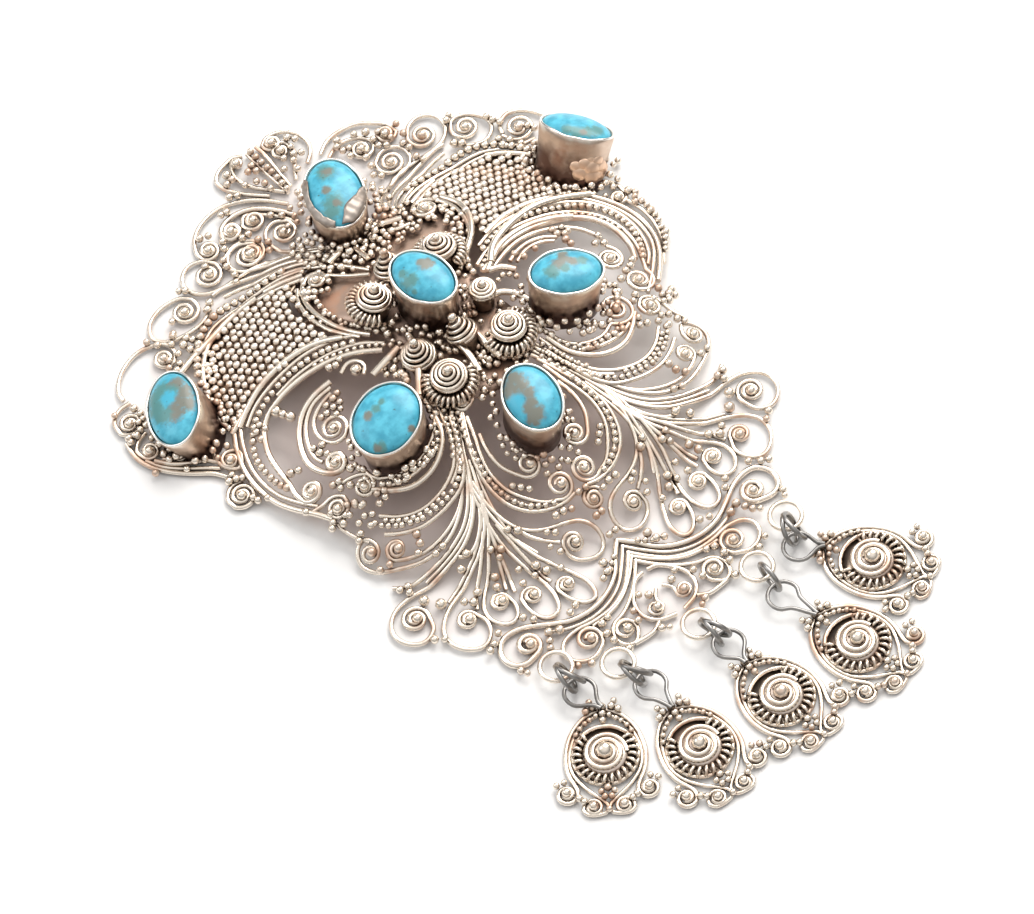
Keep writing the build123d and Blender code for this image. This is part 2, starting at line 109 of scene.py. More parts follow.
# Wires of the right half, each mirrored on the left
# A coil has its middle and its turns, counterclockwise if positive
WIRE_COLUMNS = ("size", "level", "points", "coil")
WIRES = [
    (WIRE, WIRE_LEVEL, [(5.0, 5.6), (6.2, 2.6), (7.4, 0.3), (8.3, -1.7), (9.6, -4.2), (11.4, -6.1),
     (13.4, -7.2), (15.8, -7.7), (18.5, -7.9), (21.0, -7.7), (23.0, -8.0), (24.5, -9.1), (25.0, -10.7),
     (24.3, -12.3), (22.8, -13.1), (21.3, -12.4), (20.8, -11.1)], (22.2, -10.2, -1.9)),
    (WIRE, WIRE_LEVEL, [(5.4, 5.9), (6.7, 2.8), (7.9, 0.4), (9.0, -2.2), (10.4, -4.2), (12.2, -5.7),
     (14.4, -6.5), (16.4, -6.8), (18.6, -6.8), (20.6, -6.4), (21.8, -5.6)], None),
    (WIRE, WIRE_LEVEL, [(5.8, 6.0), (6.9, 3.4), (8.1, 1.0), (9.2, -1.2), (10.6, -3.4), (12.4, -4.9),
     (14.4, -5.7), (16.3, -5.8), (18.3, -5.3), (20.5, -4.1), (22.1, -2.9), (22.8, -1.3), (22.1, 0.2),
     (20.9, 0.4), (20.4, -0.6)], (21.5, -1.0, 1.2)),
    (WIRE, WIRE_LEVEL, [(9.3, -2.0), (11.2, -3.8), (13.0, -4.7), (15.0, -5.1), (16.8, -5.0), (18.6, -4.3),
     (19.9, -3.4)], (19.1, -2.7, 1.7)),
    (WIRE, WIRE_LEVEL, [(7.6, -1.3), (8.8, -4.3), (10.3, -7.0), (12.3, -8.7), (14.3, -9.7), (16.4, -10.6),
     (18.4, -11.4), (19.9, -12.4), (20.8, -13.8), (20.8, -15.3), (19.8, -16.8), (18.3, -17.5),
     (16.9, -16.7), (16.3, -15.2), (16.7, -13.9)], (17.9, -13.8, -1.6)),
    (WIRE, WIRE_LEVEL, [(9.4, -4.9), (10.6, -6.6), (12.2, -7.9), (13.6, -8.2), (14.4, -7.7)], None),
    (WIRE, WIRE_LEVEL, [(8.4, -4.0), (10.0, -7.2), (11.7, -9.4), (13.2, -11.2), (14.6, -12.4),
     (15.7, -13.9), (15.8, -15.6), (14.8, -16.9), (13.6, -16.9), (12.8, -15.7), (12.8, -14.4)],
     (13.9, -14.2, -1.6)),
    (WIRE, WIRE_LEVEL, [(9.3, -3.4), (9.9, -7.0), (10.0, -10.0), (9.5, -12.5), (8.9, -14.8), (8.8, -17.0),
     (9.4, -18.7), (10.4, -19.2), (11.5, -18.6), (12.0, -17.0), (11.9, -15.4)], (10.8, -15.7, 1.6)),
    (WIRE, WIRE_LEVEL, [(9.0, -3.0), (9.2, -6.5), (8.8, -9.5), (7.9, -12.3), (6.7, -14.4), (5.7, -16.4),
     (5.1, -18.5), (5.6, -20.1), (6.8, -20.0), (7.8, -18.7), (8.2, -17.1)], (7.2, -16.9, 1.5)),
    (WIRE, WIRE_LEVEL, [(8.6, -2.6), (8.8, -5.5), (8.2, -8.3), (7.0, -10.0), (5.2, -11.1), (3.2, -11.7),
     (1.7, -12.4), (0.8, -13.7), (0.9, -15.2), (2.2, -16.2), (3.7, -15.8), (4.8, -14.6), (4.8, -13.4)],
     (3.7, -13.7, 1.5)),
    (THICK, WIRE_LEVEL, [(-0.3, -16.0), (1.0, -17.4), (2.4, -19.2), (4.4, -20.5), (6.8, -21.1),
     (9.3, -20.8), (11.3, -19.8), (13.2, -18.6), (15.0, -18.0), (16.6, -18.2), (17.6, -19.6),
     (17.4, -21.2), (16.2, -22.0), (14.8, -21.8)], (14.7, -20.3, -1.6)),
    (THIN, WIRE_LEVEL, [(-0.4, -16.9), (1.0, -18.6), (3.0, -20.6), (5.4, -21.7), (8.0, -21.9),
     (10.4, -21.3), (12.4, -20.2)], None),
    (WIRE, WIRE_LEVEL, [(-0.4, -17.9), (1.0, -19.6), (2.8, -21.3), (5.2, -22.3), (7.6, -22.4),
     (9.8, -22.1), (11.6, -22.5), (12.4, -23.8), (11.8, -25.2), (10.2, -25.9), (8.6, -25.3)],
     (9.3, -23.8, -1.6)),
    (WIRE, WIRE_LEVEL, [(-0.4, -19.2), (1.2, -21.1), (2.9, -22.6), (4.6, -23.6), (6.2, -24.1),
     (7.0, -25.3), (6.7, -26.7), (5.6, -27.2), (4.6, -26.3)], (5.6, -25.3, -1.4)),
    (WIRE, WIRE_LEVEL, [(0.0, -20.9), (1.2, -21.2), (2.3, -22.4), (3.1, -23.8), (3.1, -25.3), (2.1, -26.6),
     (0.2, -27.2)], None),
    (THIN, WIRE_LEVEL, [(0.1, -23.4), (0.8, -24.3), (0.7, -25.5)], (1.6, -25.2, 1.2)),
    (WIRE, TOP_LEVEL, [(4.6, 5.2), (6.1, 2.2), (7.2, -1.0), (7.7, -3.8), (7.3, -6.4), (6.1, -8.3),
     (4.3, -9.5), (2.2, -10.0), (0.6, -9.8)], None),
    (WIRE, TOP_LEVEL, [(4.9, 3.4), (5.6, 1.0), (6.3, -1.0), (6.7, -3.0), (6.4, -5.4), (5.3, -7.3),
     (3.9, -8.8), (2.6, -9.4)], (1.5, -8.2, -1.8)),
    (WIRE, TOP_LEVEL, [(5.0, 1.0), (5.4, -0.6), (5.5, -2.1), (5.2, -3.6), (4.2, -5.3)], (2.9, -4.7, -1.7)),
    (THICK, TOP_LEVEL, [(7.3, 6.0), (8.2, 3.4), (10.0, 1.7), (12.0, 1.0), (14.0, 1.2), (15.8, 2.3),
     (17.4, 3.9)], None),
    (WIRE, TOP_LEVEL, [(6.6, 6.3), (7.5, 3.0), (8.8, 0.5), (10.7, -0.9), (13.0, -1.5), (15.1, -1.3),
     (17.0, -0.3), (18.5, 1.2)], None),
    (WIRE, TOP_LEVEL, [(6.3, 4.6), (7.2, 2.0), (8.4, -0.6), (9.9, -2.2), (12.2, -2.9), (14.2, -3.0),
     (16.0, -2.7), (17.8, -1.8), (19.2, -0.7)], None),
    (0.8, GRAIN_LEVEL, [(10.4, 21.9), (12.0, 22.5), (13.5, 23.0), (15.7, 23.3), (18.0, 23.2), (20.3, 22.6),
     (22.3, 21.8), (24.4, 21.1)], None),
    (THICK, GRAIN_LEVEL, [(18.3, 33.4), (19.9, 32.5), (21.8, 30.7), (23.1, 28.6), (24.0, 26.2),
     (24.4, 23.8), (24.2, 22.0)], None),
    (WIRE, TOP_LEVEL, [(7.6, 31.4), (10.0, 32.5), (11.9, 33.2), (14.0, 33.6), (16.3, 33.7), (18.3, 33.4)],
     None),
    (WIRE, TOP_LEVEL, [(6.6, 32.4), (9.0, 33.6), (12.0, 34.2), (15.0, 34.4), (18.0, 34.1), (20.0, 33.1)],
     None),
    (WIRE, WIRE_LEVEL, [(4.6, 32.6), (5.8, 34.2), (7.8, 35.7), (10.0, 36.6), (12.4, 37.3), (14.6, 37.8),
     (15.6, 37.7)], None),
    (WIRE, WIRE_LEVEL, [(4.3, 33.6), (5.5, 35.4), (7.2, 36.6), (9.6, 37.7), (11.6, 37.8), (14.2, 37.8),
     (16.1, 38.4), (17.3, 39.9), (17.1, 41.5), (15.7, 42.6), (14.0, 42.3), (12.9, 41.0)], (14.5, 40.3, 1.8)),
    (WIRE, WIRE_LEVEL, [(6.9, 36.2), (8.4, 37.4), (10.0, 37.6), (11.4, 38.3), (11.9, 39.7), (11.1, 41.1),
     (9.5, 41.4), (8.1, 40.5)], (9.6, 39.6, 1.7)),
    (WIRE, WIRE_LEVEL, [(9.5, -5.8), (10.6, -9.0), (11.7, -11.6), (12.5, -13.4)], None),
    (WIRE, WIRE_LEVEL, [(10.8, -7.4), (13.2, -9.9), (15.2, -11.7), (16.3, -13.4)], None),
    (WIRE, WIRE_LEVEL, [(9.9, -6.6), (10.7, -9.6), (11.3, -12.2), (11.9, -14.2)], None),
    (WIRE, WIRE_LEVEL, [(9.3, -7.6), (9.0, -11.0), (8.6, -13.6), (8.2, -15.6)], None),
    (WIRE, WIRE_LEVEL, [(8.3, -8.0), (7.2, -10.6), (6.0, -12.0), (4.9, -12.9)], None),
    (THIN, WIRE_LEVEL, [(5.3, 5.0), (6.5, 2.4), (7.7, 0.0), (8.7, -2.2), (10.0, -4.4), (11.8, -6.0),
     (14.0, -6.9), (16.4, -7.3), (18.6, -7.4)], None),
    (THIN, WIRE_LEVEL, [(7.4, -0.6), (8.4, -3.2), (9.7, -5.8), (11.6, -7.6), (13.6, -8.9), (16.0, -9.9),
     (18.2, -10.8)], None),
    (THIN, WIRE_LEVEL, [(6.9, -0.6), (8.0, -3.6), (8.6, -6.6), (8.6, -9.8), (7.5, -12.4)], None),
    (THIN, TOP_LEVEL, [(4.8, 4.4), (5.9, 2.0), (6.8, -0.4), (7.2, -3.2), (6.8, -6.0), (5.6, -8.0),
     (4.0, -9.2)], None),
    (WIRE, TOP_LEVEL, [(5.6, 5.4), (6.6, 3.4), (7.7, 1.4), (9.0, -0.4), (10.6, -1.4)], None),
    (THIN, WIRE_LEVEL, [(-0.4, -18.5), (1.4, -20.4), (3.6, -22.0), (6.0, -22.7), (8.0, -22.8)], None),
    (WIRE, WIRE_LEVEL, [(2.2, -26.8), (3.4, -27.4), (4.8, -27.4), (5.8, -27.3)], None),
    (WIRE, TOP_LEVEL, [(9.2, 2.9), (10.6, 2.3), (12.6, 2.1), (14.4, 2.3), (16.0, 3.0)], None),
    (THICK, GRAIN_LEVEL, [(7.2, 31.8), (9.4, 32.9), (11.4, 33.6)], None),
    (WIRE, TOP_LEVEL, [(4.8, 31.4), (6.2, 33.4), (8.2, 34.7), (10.6, 35.7), (13.0, 36.4), (14.9, 36.7)],
     None),
    (THIN, TOP_LEVEL, [(5.2, 31.2), (6.8, 32.9), (8.8, 34.1), (11.0, 34.9)], None),
    (WIRE, TOP_LEVEL, [(21.0, 32.8), (22.4, 32.0), (24.0, 31.7)], None),
]

# Wires of one side alone, and of the crest
LONE_WIRES = [
    (WIRE, WIRE_LEVEL, [(-31.2, 31.9), (-32.8, 31.8), (-34.0, 30.8), (-34.2, 29.2)], (-32.7, 29.7, 1.7)),
    (WIRE, WIRE_LEVEL, [(-32.0, 27.6), (-33.2, 27.2), (-34.1, 26.2), (-33.9, 24.9)], (-32.9, 25.4, 1.4)),
    (WIRE, WIRE_LEVEL, [(-31.0, 25.0), (-31.9, 23.8), (-31.8, 22.4), (-30.7, 21.5)], (-30.6, 22.8, 1.4)),
    (WIRE, WIRE_LEVEL, [(-27.2, 15.8), (-28.6, 15.9), (-29.8, 14.9), (-29.7, 13.4)], (-28.3, 14.3, 1.8)),
    (0.8, 0.4, [(-4.7, 30.7), (-2.4, 31.3)], None),
    (0.7, 0.4, [(-1.4, 30.2), (-1.2, 27.8)], None),
    (0.8, 0.4, [(2.7, 31.3), (5.0, 30.3)], None),
    (WIRE, 0.1, [(-5.2, 8.4), (-7.0, 8.9), (-7.6, 7.2), (-6.4, 6.2)], (-6.4, 7.3, 1.4)),
    (WIRE, 0.1, [(-3.4, 6.2), (-3.7, 4.6), (-5.0, 4.2)], (-4.6, 5.3, -1.4)),
    (THIN, 0.0, [(-5.6, 29.1), (-4.2, 27.3), (-2.5, 25.7)], None),
    (THIN, 0.0, [(-4.5, 30.4), (-3.2, 28.1), (-2.1, 26.2)], None),
    (WIRE, WIRE_LEVEL, [(-1.9, 44.0), (-3.2, 45.4), (-4.6, 47.2), (-5.2, 49.2), (-4.6, 50.9)],
     (-4.0, 50.7, -1.3)),
    (WIRE, WIRE_LEVEL, [(-3.6, 44.6), (-5.6, 46.6), (-6.9, 48.4), (-7.2, 49.9), (-6.5, 50.9), (-5.2, 51.4),
     (-3.9, 51.6), (-2.9, 51.1)], None),
    (WIRE, WIRE_LEVEL, [(-1.0, 44.2), (-0.9, 47.0), (-0.8, 49.6), (-1.0, 51.2)], None),
    (WIRE, WIRE_LEVEL, [(-1.7, 43.6), (-1.9, 46.0), (-2.2, 48.6), (-2.3, 51.0)], None),
    (WIRE, WIRE_LEVEL, [(2.3, 45.6), (3.4, 46.6), (4.0, 48.2), (3.5, 49.9), (2.3, 51.1), (0.6, 51.4),
     (-0.4, 50.8)], (0.7, 50.5, 1.3)),
    (WIRE, WIRE_LEVEL, [(0.0, 44.6), (1.0, 46.3), (2.1, 48.1), (1.9, 49.6)], (0.9, 48.9, 1.2)),
    (WIRE, WIRE_LEVEL, [(-2.6, 42.4), (-4.3, 44.4), (-6.0, 45.8), (-7.7, 46.6), (-9.6, 46.9),
     (-11.8, 46.4), (-13.5, 45.2), (-14.4, 43.4), (-14.2, 42.2)], (-13.1, 43.0, 1.5)),
    (THICK, WIRE_LEVEL, [(-2.7, 40.4), (-3.9, 42.2), (-5.2, 43.7), (-6.8, 44.7), (-8.6, 45.0),
     (-10.4, 44.4), (-10.9, 43.2)], (-9.7, 43.5, 1.4)),
    (WIRE, WIRE_LEVEL, [(-3.0, 39.4), (-4.4, 41.6), (-5.9, 43.2), (-7.4, 44.2), (-8.3, 43.2)],
     (-6.9, 43.1, 1.4)),
    (WIRE, WIRE_LEVEL, [(4.1, 45.6), (5.7, 46.6), (7.6, 46.8), (9.6, 46.4), (11.0, 45.4), (12.3, 44.0),
     (12.5, 42.6)], (11.4, 43.2, -1.5)),
    (WIRE, WIRE_LEVEL, [(4.6, 44.6), (5.8, 45.2), (7.2, 45.3), (8.8, 44.6), (9.6, 43.2), (9.0, 42.2)],
     (8.1, 43.2, -1.4)),
    (WIRE, WIRE_LEVEL, [(-3.8, 33.2), (-6.6, 35.6), (-9.2, 37.0), (-11.8, 38.2), (-12.9, 39.8),
     (-12.2, 41.0), (-10.6, 41.6), (-8.9, 41.2), (-8.0, 39.8)], (-9.5, 39.6, -1.7)),
    (WIRE, WIRE_LEVEL, [(-3.8, 33.8), (-5.2, 35.2), (-6.5, 36.9), (-7.3, 38.8), (-7.0, 40.6), (-5.4, 41.4),
     (-4.0, 40.6)], (-5.2, 39.6, -1.6)),
    (THICK, TOP_LEVEL, [(23.6, 21.3), (25.0, 19.6), (26.1, 17.4), (26.6, 15.0), (26.3, 12.6), (25.4, 10.4),
     (23.9, 8.2), (22.4, 6.5)], None),
    (WIRE, TOP_LEVEL, [(22.6, 21.3), (24.2, 19.4), (25.4, 17.1), (25.9, 14.8), (25.6, 12.4), (24.7, 10.4),
     (23.2, 8.5), (21.7, 6.9), (20.4, 5.6)], None),
    (WIRE, TOP_LEVEL, [(8.8, 20.8), (11.3, 21.9), (13.7, 22.4), (16.0, 22.4), (18.6, 22.1), (21.0, 21.3),
     (22.9, 20.1), (24.5, 17.9), (25.1, 15.4), (24.9, 12.8), (24.0, 10.4), (22.8, 8.9)], None),
    (WIRE, TOP_LEVEL, [(7.0, 18.5), (9.0, 19.6), (11.3, 20.5), (13.7, 20.9), (16.3, 20.8), (18.8, 20.3),
     (21.0, 19.2), (22.7, 17.5), (23.6, 15.3), (23.7, 13.0), (23.3, 11.2), (22.7, 9.6), (22.2, 8.4)],
     (20.6, 7.5, -1.8)),
    (THICK, TOP_LEVEL, [(7.0, 17.4), (9.6, 18.6), (12.0, 19.4), (14.6, 19.7), (17.2, 19.5), (19.6, 18.9),
     (21.4, 17.8), (22.6, 16.0), (23.0, 14.0), (22.8, 12.0), (22.1, 10.2)], None),
    (WIRE, TOP_LEVEL, [(8.4, 17.2), (10.6, 18.2), (12.6, 18.8), (14.6, 18.9), (16.6, 18.5), (18.1, 17.9),
     (19.5, 16.8), (20.3, 15.5), (20.7, 14.5)], None),
    (WIRE, TOP_LEVEL, [(10.2, 16.8), (12.0, 17.7), (13.8, 18.0), (15.4, 17.7), (16.6, 17.0)], None),
    (THIN, TOP_LEVEL, [(10.8, 16.3), (12.6, 17.2), (14.6, 17.3), (16.0, 16.7)], None),
    (WIRE, TOP_LEVEL, [(20.4, 13.2), (21.0, 12.2), (20.9, 11.0), (20.1, 10.2), (19.1, 10.2), (18.5, 10.9)],
     (19.7, 11.4, -1.6)),
    (WIRE, TOP_LEVEL, [(21.9, 1.2), (21.2, 2.4), (20.9, 3.8), (20.3, 4.9), (19.2, 5.2), (18.3, 4.4)],
     (19.5, 4.0, 1.5)),
    (WIRE, TOP_LEVEL, [(7.6, 7.0), (8.2, 5.0), (9.2, 3.8), (10.8, 3.1), (12.6, 3.1), (14.2, 3.9)],
     (15.9, 5.3, 1.9)),
    (WIRE, WIRE_LEVEL, [(23.8, 20.4), (24.3, 21.5), (25.4, 22.2), (26.6, 21.8), (27.3, 20.6), (27.4, 19.6)],
     (26.4, 19.3, -1.4)),
    (WIRE, WIRE_LEVEL, [(26.9, 18.4), (27.4, 16.8), (27.6, 15.0), (27.3, 13.2), (26.7, 11.6), (25.8, 10.1),
     (24.7, 8.5)], None),
    (0.66, TOP_LEVEL, [(5.2, 19.2), (6.8, 20.6), (8.6, 22.2), (9.9, 24.4), (10.4, 26.8), (10.2, 29.0),
     (9.4, 30.7), (8.2, 31.5), (7.1, 31.1), (6.6, 30.1)], (7.9, 29.9, 1.6)),
    (0.8, GRAIN_LEVEL, [(10.4, 30.4), (11.2, 28.0), (10.8, 25.4), (9.4, 23.0), (7.4, 21.0), (5.9, 19.7)],
     None),
    (0.8, GRAIN_LEVEL, [(7.5, 17.1), (9.0, 16.6), (10.0, 15.4)], None),
    (0.8, 0.3, [(5.4, 14.0), (6.9, 13.7), (8.0, 12.6), (8.7, 11.0)], None),
    (WIRE, WIRE_LEVEL, [(16.3, 36.9), (18.0, 35.6), (19.5, 35.1), (20.9, 35.8), (21.5, 37.1), (20.9, 38.5),
     (19.7, 39.6), (18.2, 39.8), (17.3, 38.6)], (18.9, 38.1, 1.6)),
    (WIRE, WIRE_LEVEL, [(21.6, 34.6), (22.0, 35.7), (23.4, 36.5), (24.9, 36.0), (26.0, 34.9), (26.7, 33.6)],
     None),
    (WIRE, WIRE_LEVEL, [(21.4, 34.4), (22.0, 33.2), (23.2, 32.6), (24.6, 33.0)], (23.5, 34.2, 1.4)),
    (WIRE, WIRE_LEVEL, [(-17.4, 36.3), (-19.2, 35.4), (-21.4, 35.3), (-23.4, 35.8), (-24.5, 37.0),
     (-24.1, 38.6), (-22.8, 39.6), (-21.0, 40.0), (-19.2, 39.7), (-18.3, 38.8)], (-19.8, 37.9, -1.8)),
    (WIRE, WIRE_LEVEL, [(-31.6, 32.6), (-31.4, 33.9), (-30.2, 35.4), (-28.5, 36.4), (-26.8, 36.8),
     (-25.1, 36.5), (-23.8, 35.6), (-23.6, 34.3), (-24.4, 33.2)], (-25.0, 34.3, -1.6)),
    (WIRE, WIRE_LEVEL, [(-34.4, 27.8), (-34.6, 25.6), (-34.0, 23.6), (-32.6, 21.6), (-30.8, 19.9),
     (-29.2, 18.6), (-28.2, 17.2)], None),
    (WIRE, WIRE_LEVEL, [(-34.0, 24.6), (-33.0, 22.8), (-31.4, 21.2), (-29.6, 19.8), (-28.2, 18.6)], None),
    (WIRE, TOP_LEVEL, [(-33.2, 24.0), (-32.0, 22.5), (-30.5, 21.4), (-28.9, 20.5), (-27.9, 19.4)], None),
    (THIN, TOP_LEVEL, [(-32.4, 23.6), (-31.2, 22.6), (-29.8, 21.9), (-28.2, 21.4)], None),
    (WIRE, TOP_LEVEL, [(-25.2, 22.5), (-26.6, 22.1), (-27.7, 20.8), (-27.9, 19.2), (-27.3, 17.8),
     (-26.2, 17.3), (-25.5, 18.3)], (-26.7, 18.8, 1.4)),
    (THICK, TOP_LEVEL, [(-24.2, 21.6), (-25.5, 19.2), (-26.3, 16.6), (-26.5, 13.8), (-26.1, 11.0),
     (-25.1, 8.6), (-23.7, 6.3), (-22.8, 4.6)], None),
    (WIRE, TOP_LEVEL, [(-23.6, 21.2), (-24.8, 18.9), (-25.6, 16.3), (-25.8, 13.8), (-25.4, 11.2),
     (-24.4, 8.9), (-23.1, 6.8)], None),
    (WIRE, TOP_LEVEL, [(-8.4, 19.8), (-10.8, 21.2), (-13.4, 22.1), (-16.2, 22.3), (-18.8, 22.1),
     (-21.2, 21.5), (-23.2, 20.3)], None),
    (WIRE, TOP_LEVEL, [(-6.8, 16.6), (-8.6, 18.4), (-10.8, 19.6), (-13.4, 20.4), (-16.2, 20.7),
     (-18.8, 20.5)], None),
    (THICK, TOP_LEVEL, [(-7.4, 16.0), (-9.6, 17.8), (-12.0, 19.1), (-14.4, 19.8), (-16.9, 20.1),
     (-19.2, 19.9), (-21.2, 19.2), (-22.6, 17.7), (-23.5, 15.6), (-23.8, 13.4), (-23.9, 11.2),
     (-24.1, 9.6), (-23.8, 8.2)], (-22.7, 8.7, 1.6)),
    (0.78, TOP_LEVEL, [(-13.8, 17.1), (-16.1, 17.1), (-18.1, 16.4), (-19.7, 14.9), (-20.8, 12.9),
     (-21.1, 10.9), (-20.4, 9.1), (-19.3, 8.1), (-18.2, 8.3), (-18.0, 9.4)], (-19.0, 9.2, 1.2)),
    (WIRE, TOP_LEVEL, [(-14.2, 16.5), (-16.6, 16.4), (-18.4, 15.3), (-19.7, 13.4), (-20.2, 11.4),
     (-19.9, 10.2)], None),
    (WIRE, TOP_LEVEL, [(-14.6, 15.9), (-16.6, 15.5), (-17.9, 14.6), (-18.5, 13.3), (-18.3, 11.9),
     (-17.6, 10.9), (-16.5, 10.7), (-15.6, 11.4)], (-16.8, 12.4, 1.5)),
    (WIRE, TOP_LEVEL, [(-12.4, 17.0), (-11.2, 17.5), (-10.2, 16.9), (-10.0, 15.8), (-10.7, 15.1)], None),
    (WIRE, TOP_LEVEL, [(-7.4, 7.0), (-8.4, 5.0), (-10.0, 3.7), (-12.2, 2.9), (-14.4, 3.1), (-16.1, 3.9),
     (-17.0, 5.0), (-17.2, 6.2)], None),
    (WIRE, TOP_LEVEL, [(-19.8, 6.8), (-18.4, 6.4), (-17.2, 5.5), (-17.2, 4.4), (-18.1, 3.7)],
     (-18.2, 4.8, -1.2)),
    (WIRE, TOP_LEVEL, [(-23.8, 6.8), (-22.6, 6.5), (-21.4, 6.4), (-20.5, 5.5), (-20.7, 4.4)],
     (-21.7, 5.1, -1.5)),
    (THIN, WIRE_LEVEL, [(-22.9, 4.8), (-22.7, 3.0), (-22.2, 1.4), (-21.4, -0.2)], None),
    (0.66, TOP_LEVEL, [(-7.2, 18.6), (-8.3, 20.2), (-9.2, 22.2), (-9.7, 24.4), (-9.8, 26.6), (-9.5, 28.6),
     (-8.6, 30.2), (-7.4, 31.0), (-6.2, 30.5)], (-7.0, 29.8, -1.4)),
    (WIRE, TOP_LEVEL, [(-8.2, 19.2), (-9.2, 20.8), (-10.1, 22.8), (-10.5, 25.0), (-10.5, 27.0),
     (-10.0, 29.0), (-9.2, 30.4)], None),
    (0.85, 0.8, [(-10.0, 14.2), (-8.0, 14.6), (-6.0, 15.0)], None),
    (0.85, 0.8, [(-5.4, 12.2), (-6.4, 10.6), (-7.7, 8.7)], None),
    (0.8, 0.9, [(-0.7, 10.8), (-0.7, 9.0), (-1.0, 6.8)], None),
    (0.85, 0.9, [(1.5, 10.6), (1.6, 8.8), (1.9, 6.9)], None),
    (0.85, 0.9, [(2.9, 10.2), (3.2, 8.2), (3.8, 6.2)], None),
    (0.95, 0.25, [(8.4, 17.9), (10.0, 19.7), (12.2, 21.0), (15.3, 22.1), (18.2, 22.5), (20.8, 22.2),
     (24.0, 21.3)], None),
    (0.8, 0.15, [(7.4, 17.1), (10.3, 19.2), (12.6, 20.0), (15.4, 20.2), (18.0, 19.7), (20.0, 18.9)], None),
    (0.9, 0.1, [(-12.8, 33.7), (-15.9, 33.9), (-19.6, 33.0), (-22.6, 32.2), (-24.7, 31.5)], None),
    (0.8, 0.1, [(-9.6, 20.6), (-11.5, 22.0), (-13.6, 22.9), (-16.4, 23.3), (-19.4, 23.0), (-22.0, 22.0),
     (-23.8, 21.0)], None),
    (THIN, 0.0, [(0.1, 10.9), (0.1, 9.0), (0.0, 7.2)], None),
    (THIN, 0.0, [(1.4, 10.9), (1.3, 9.0), (1.4, 7.2)], None),
    (WIRE, 0.0, [(8.5, 10.6), (8.9, 9.6), (8.7, 8.6), (7.9, 8.2)], None),
    (WIRE, 0.1, [(2.4, 31.2), (3.6, 30.6), (4.8, 30.9)], None),
    (WIRE, 0.1, [(2.8, 29.8), (3.8, 29.2), (5.2, 28.9)], None),
]

# Rows of granules of the right half, each mirrored on the left, and then those of one side alone
ROW_COLUMNS = ("size", "level", "pitch", "points")
ROWS = [
    (0.7, 0.05, 0.78, [(8.6, -0.3), (9.8, -1.4), (11.0, -2.0), (12.3, -2.3), (13.7, -2.3), (15.0, -2.2),
     (16.3, -1.7), (17.3, -1.2), (18.3, -0.4), (19.2, 0.6), (19.5, 1.6)]),
    (0.72, 0.05, 0.85, [(6.6, 0.6), (7.0, -1.2), (7.3, -3.4), (6.9, -6.0), (5.8, -7.9), (4.2, -9.0),
     (2.6, -9.6)]),
    (0.66, 0.05, 0.85, [(6.4, 5.6), (7.2, 3.8), (8.1, 1.8), (9.0, 0.6)]),
    (0.66, 0.05, 0.9, [(7.4, 7.6), (7.8, 6.0), (8.4, 4.4), (9.4, 2.9), (10.8, 2.3)]),
    (0.66, 0.05, 0.9, [(5.4, 4.4), (6.0, 3.0), (6.5, 1.6)]),
    (0.95, 0.1, 0.98, [(8.5, 34.5), (11.3, 34.9), (13.7, 35.2), (15.7, 35.4), (17.3, 35.3), (19.3, 34.5),
     (20.8, 33.2), (22.2, 31.4), (23.2, 29.4)]),
    (0.75, 0.05, 0.95, [(3.4, 31.2), (4.6, 31.8), (5.9, 32.2), (7.4, 32.3)]),
    (0.66, 0.05, 0.78, [(12.0, -1.7), (13.6, -1.9), (15.2, -1.7), (16.6, -1.1), (17.8, -0.2), (18.7, 0.8)]),
    (0.6, 0.05, 0.76, [(5.9, 4.8), (6.8, 2.8), (7.8, 1.0), (9.0, -0.6)]),
    (0.66, 0.05, 0.8, [(9.6, 3.3), (11.0, 2.7), (12.6, 2.6), (14.4, 3.0), (15.6, 3.6)]),
    (0.6, 0.05, 0.8, [(2.6, -3.0), (3.4, -2.4), (4.4, -2.6)]),
    (0.66, 0.0, 0.8, [(1.4, -17.4), (3.0, -18.6)]),
]
